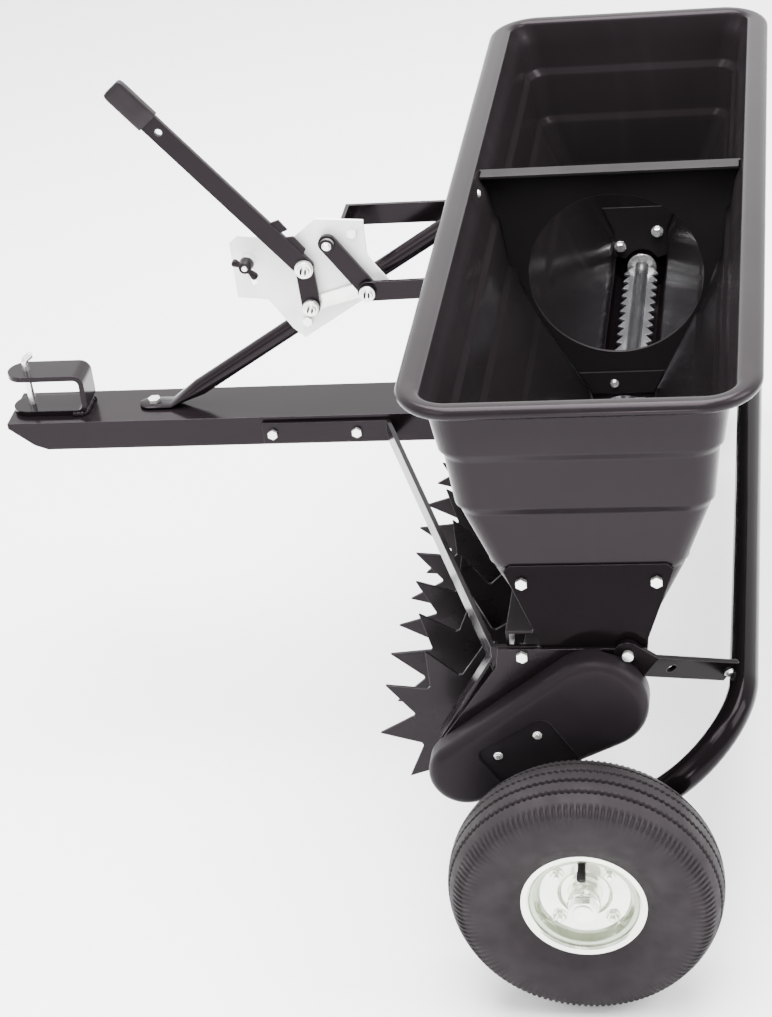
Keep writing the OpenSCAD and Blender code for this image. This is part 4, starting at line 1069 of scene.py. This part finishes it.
weld_z = CLEVIS_LOW.z + 1.2
foot_back = CLEVIS_HIGH.x - 6
half_foot = CLEVIS_HIGH.y
corners = [Vector((foot_back + x, y, weld_z)) for x in (2, -12) for y in (-half_foot, half_foot)]
rear_near, rear_far, front_near, front_far = corners
welds = [
    weld_bead(rear_near, rear_far, 4.2, 7),
    weld_bead(front_near, rear_near, 3.4, 3),
    weld_bead(front_far, rear_far, 3.4, 3),
]
piece("clevis_welds", joined(*welds), "chassis", BLACK, sharp=60)

# Small fittings inside the hopper

DIVIDER_FLANGE = 16
DIVIDER_FACE = low_of("hopper_divider").y + DIVIDER_FLANGE
END_INNER = END_LOW - WALL
LINER_NEAR, LINER_FAR = 2.2, 0.2
STUDS = ((21, THROAT_Z + 34), (-26, THROAT_Z + 15))
WALL_SCREW = (-130.6, -20, 600)

# Low strip against the near face of the divider
foot_line = [(-34, THROAT_Z + 27), (34, THROAT_Z + 27), (47, THROAT_Z + 54), (-47, THROAT_Z + 54)]
foot_strip = slab(foot_line, DIVIDER_FACE - LINER_NEAR, DIVIDER_FACE - LINER_FAR)
piece("divider_foot", foot_strip, "chassis", INNER_PAINTED_FILL, bevel=0.4)
studs = [moved(hex_head(3.6, 3, 4.8), pointing(NEAR, (-9, DIVIDER_FACE - LINER_NEAR, THROAT_Z + 40)))]
studs.append(moved(hex_head(3.2, 2.6, 4.4), pointing((1, 0, 0), WALL_SCREW)))
for x, z in STUDS:
    studs.append(moved(hex_head(6, 5, 7.5), pointing(NEAR, (x, END_INNER - LINER_NEAR, z))))
piece("hopper_studs", joined(*studs), "chassis", ZINC, sharp=30)

# Wear plates inside the end walls, round the agitator's shaft

shaft_arc = arc((0, 285), 21, 24, 156, 12)
plate_line = [(-45, 364), (45, 364), (32, 330), (31, 298)] + shaft_arc + [(-31, 298), (-32, 330)]
plates = [slab(plate_line, sign * (END_INNER - LINER_NEAR), sign * (END_INNER - LINER_FAR)) for sign in (1, -1)]
piece("wear_plates", joined(*plates), "chassis", INNER_PAINTED_FILL, bevel=0.3)

# Disc on the far end of the agitator

DISC_GAP = 8
disc = lathe([(8.4, 0), (17, 0), (18, 0.5), (18, 2), (17, 2.5), (8.4, 2.5)], 48, closed=True)
far_disc = moved(disc, pointing(NEAR, (AGITATOR.x, END_INNER - DISC_GAP, AGITATOR.z)))
piece("agitator_disc", far_disc, "agitator", ZINC, sharp=30)

# Floor, light and camera

FLOOR = 40.0
floor_corners = [(x * FLOOR, y * FLOOR, 0) for x, y in ((-1, -1), (1, -1), (1, 1), (-1, 1))]
floor_mesh = bpy.data.meshes.new("floor")
floor_mesh.from_pydata(floor_corners, [], [[0, 1, 2, 3]])
floor = bpy.data.objects.new("floor", floor_mesh)
floor.data.materials.append(floor_material())
bpy.context.scene.collection.objects.link(floor)

# The sky is dimmer on the camera's side, so that the near faces stay dark

world = bpy.data.worlds.new("studio")
world.use_nodes = True
tree = world.node_tree
direction = tree.nodes.new("ShaderNodeTexCoord").outputs["Generated"]
split = tree.nodes.new("ShaderNodeSeparateXYZ")
tree.links.new(direction, split.inputs["Vector"])
falloff = tree.nodes.new("ShaderNodeMapRange")
falloff.inputs["From Min"].default_value = -0.9
falloff.inputs["From Max"].default_value = 0.7
falloff.inputs["To Min"].default_value = 1.0
falloff.inputs["To Max"].default_value = 3.4
tree.links.new(split.outputs["Y"], falloff.inputs["Value"])
tree.nodes["Background"].inputs["Color"].default_value = (1.0, 1.0, 1.0, 1)
tree.links.new(falloff.outputs["Result"], tree.nodes["Background"].inputs["Strength"])
bpy.context.scene.world = world


def area_light(name, at, target, size, power):
    """Square light at a place, turned to a target, in metres and watts."""
    data = bpy.data.lights.new(name, "AREA")
    data.size = size
    data.energy = power
    obj = bpy.data.objects.new(name, data)
    obj.matrix_world = pointing(Vector(at) - Vector(target), Vector(at))
    bpy.context.scene.collection.objects.link(obj)


MIDDLE = (0.2, 0.0, 0.35)
area_light("overhead", (0.1, 0.2, 2.8), MIDDLE, 2.4, 430)
area_light("front_left", (-1.8, -2.4, 2.0), MIDDLE, 1.6, 45)
area_light("right_side", (2.4, -0.6, 1.8), MIDDLE, 1.4, 80)
area_light("low_strip", (0.3, -1.4, 0.34), (0.26, -0.46, 0.6), 0.2, 3.5)
area_light("camera_fill", (0.5, -1.5, 3.0), (0.26, -0.1, 0.5), 0.9, 40)

# Camera fitted to the photo, in millimetres about the hopper's centre plane

FOCAL_PX = 2443.0
IMAGE_H = 1017.0
YAW, PITCH, ROLL = math.radians(11.51), math.radians(30.94), math.radians(7.17)
CAMERA_AT = Vector((201, -2324, 1631))

forward = Vector((-math.sin(YAW) * math.cos(PITCH), math.cos(YAW) * math.cos(PITCH), -math.sin(PITCH)))
level = Vector((math.cos(YAW), math.sin(YAW), 0))
down = forward.cross(level)
right = math.cos(ROLL) * level + math.sin(ROLL) * down
down = -math.sin(ROLL) * level + math.cos(ROLL) * down
camera_data = bpy.data.cameras.new("camera")
camera_data.sensor_fit = "AUTO"
camera_data.sensor_width = 36.0
camera_data.lens = FOCAL_PX * camera_data.sensor_width / IMAGE_H
camera = bpy.data.objects.new("camera", camera_data)
turn = Matrix((right, -down, -forward)).transposed().to_4x4()
camera.matrix_world = Matrix.Translation(CAMERA_AT * MM + Vector((ORIGIN_X, 0, 0))) @ turn
bpy.context.scene.collection.objects.link(camera)
bpy.context.scene.camera = camera
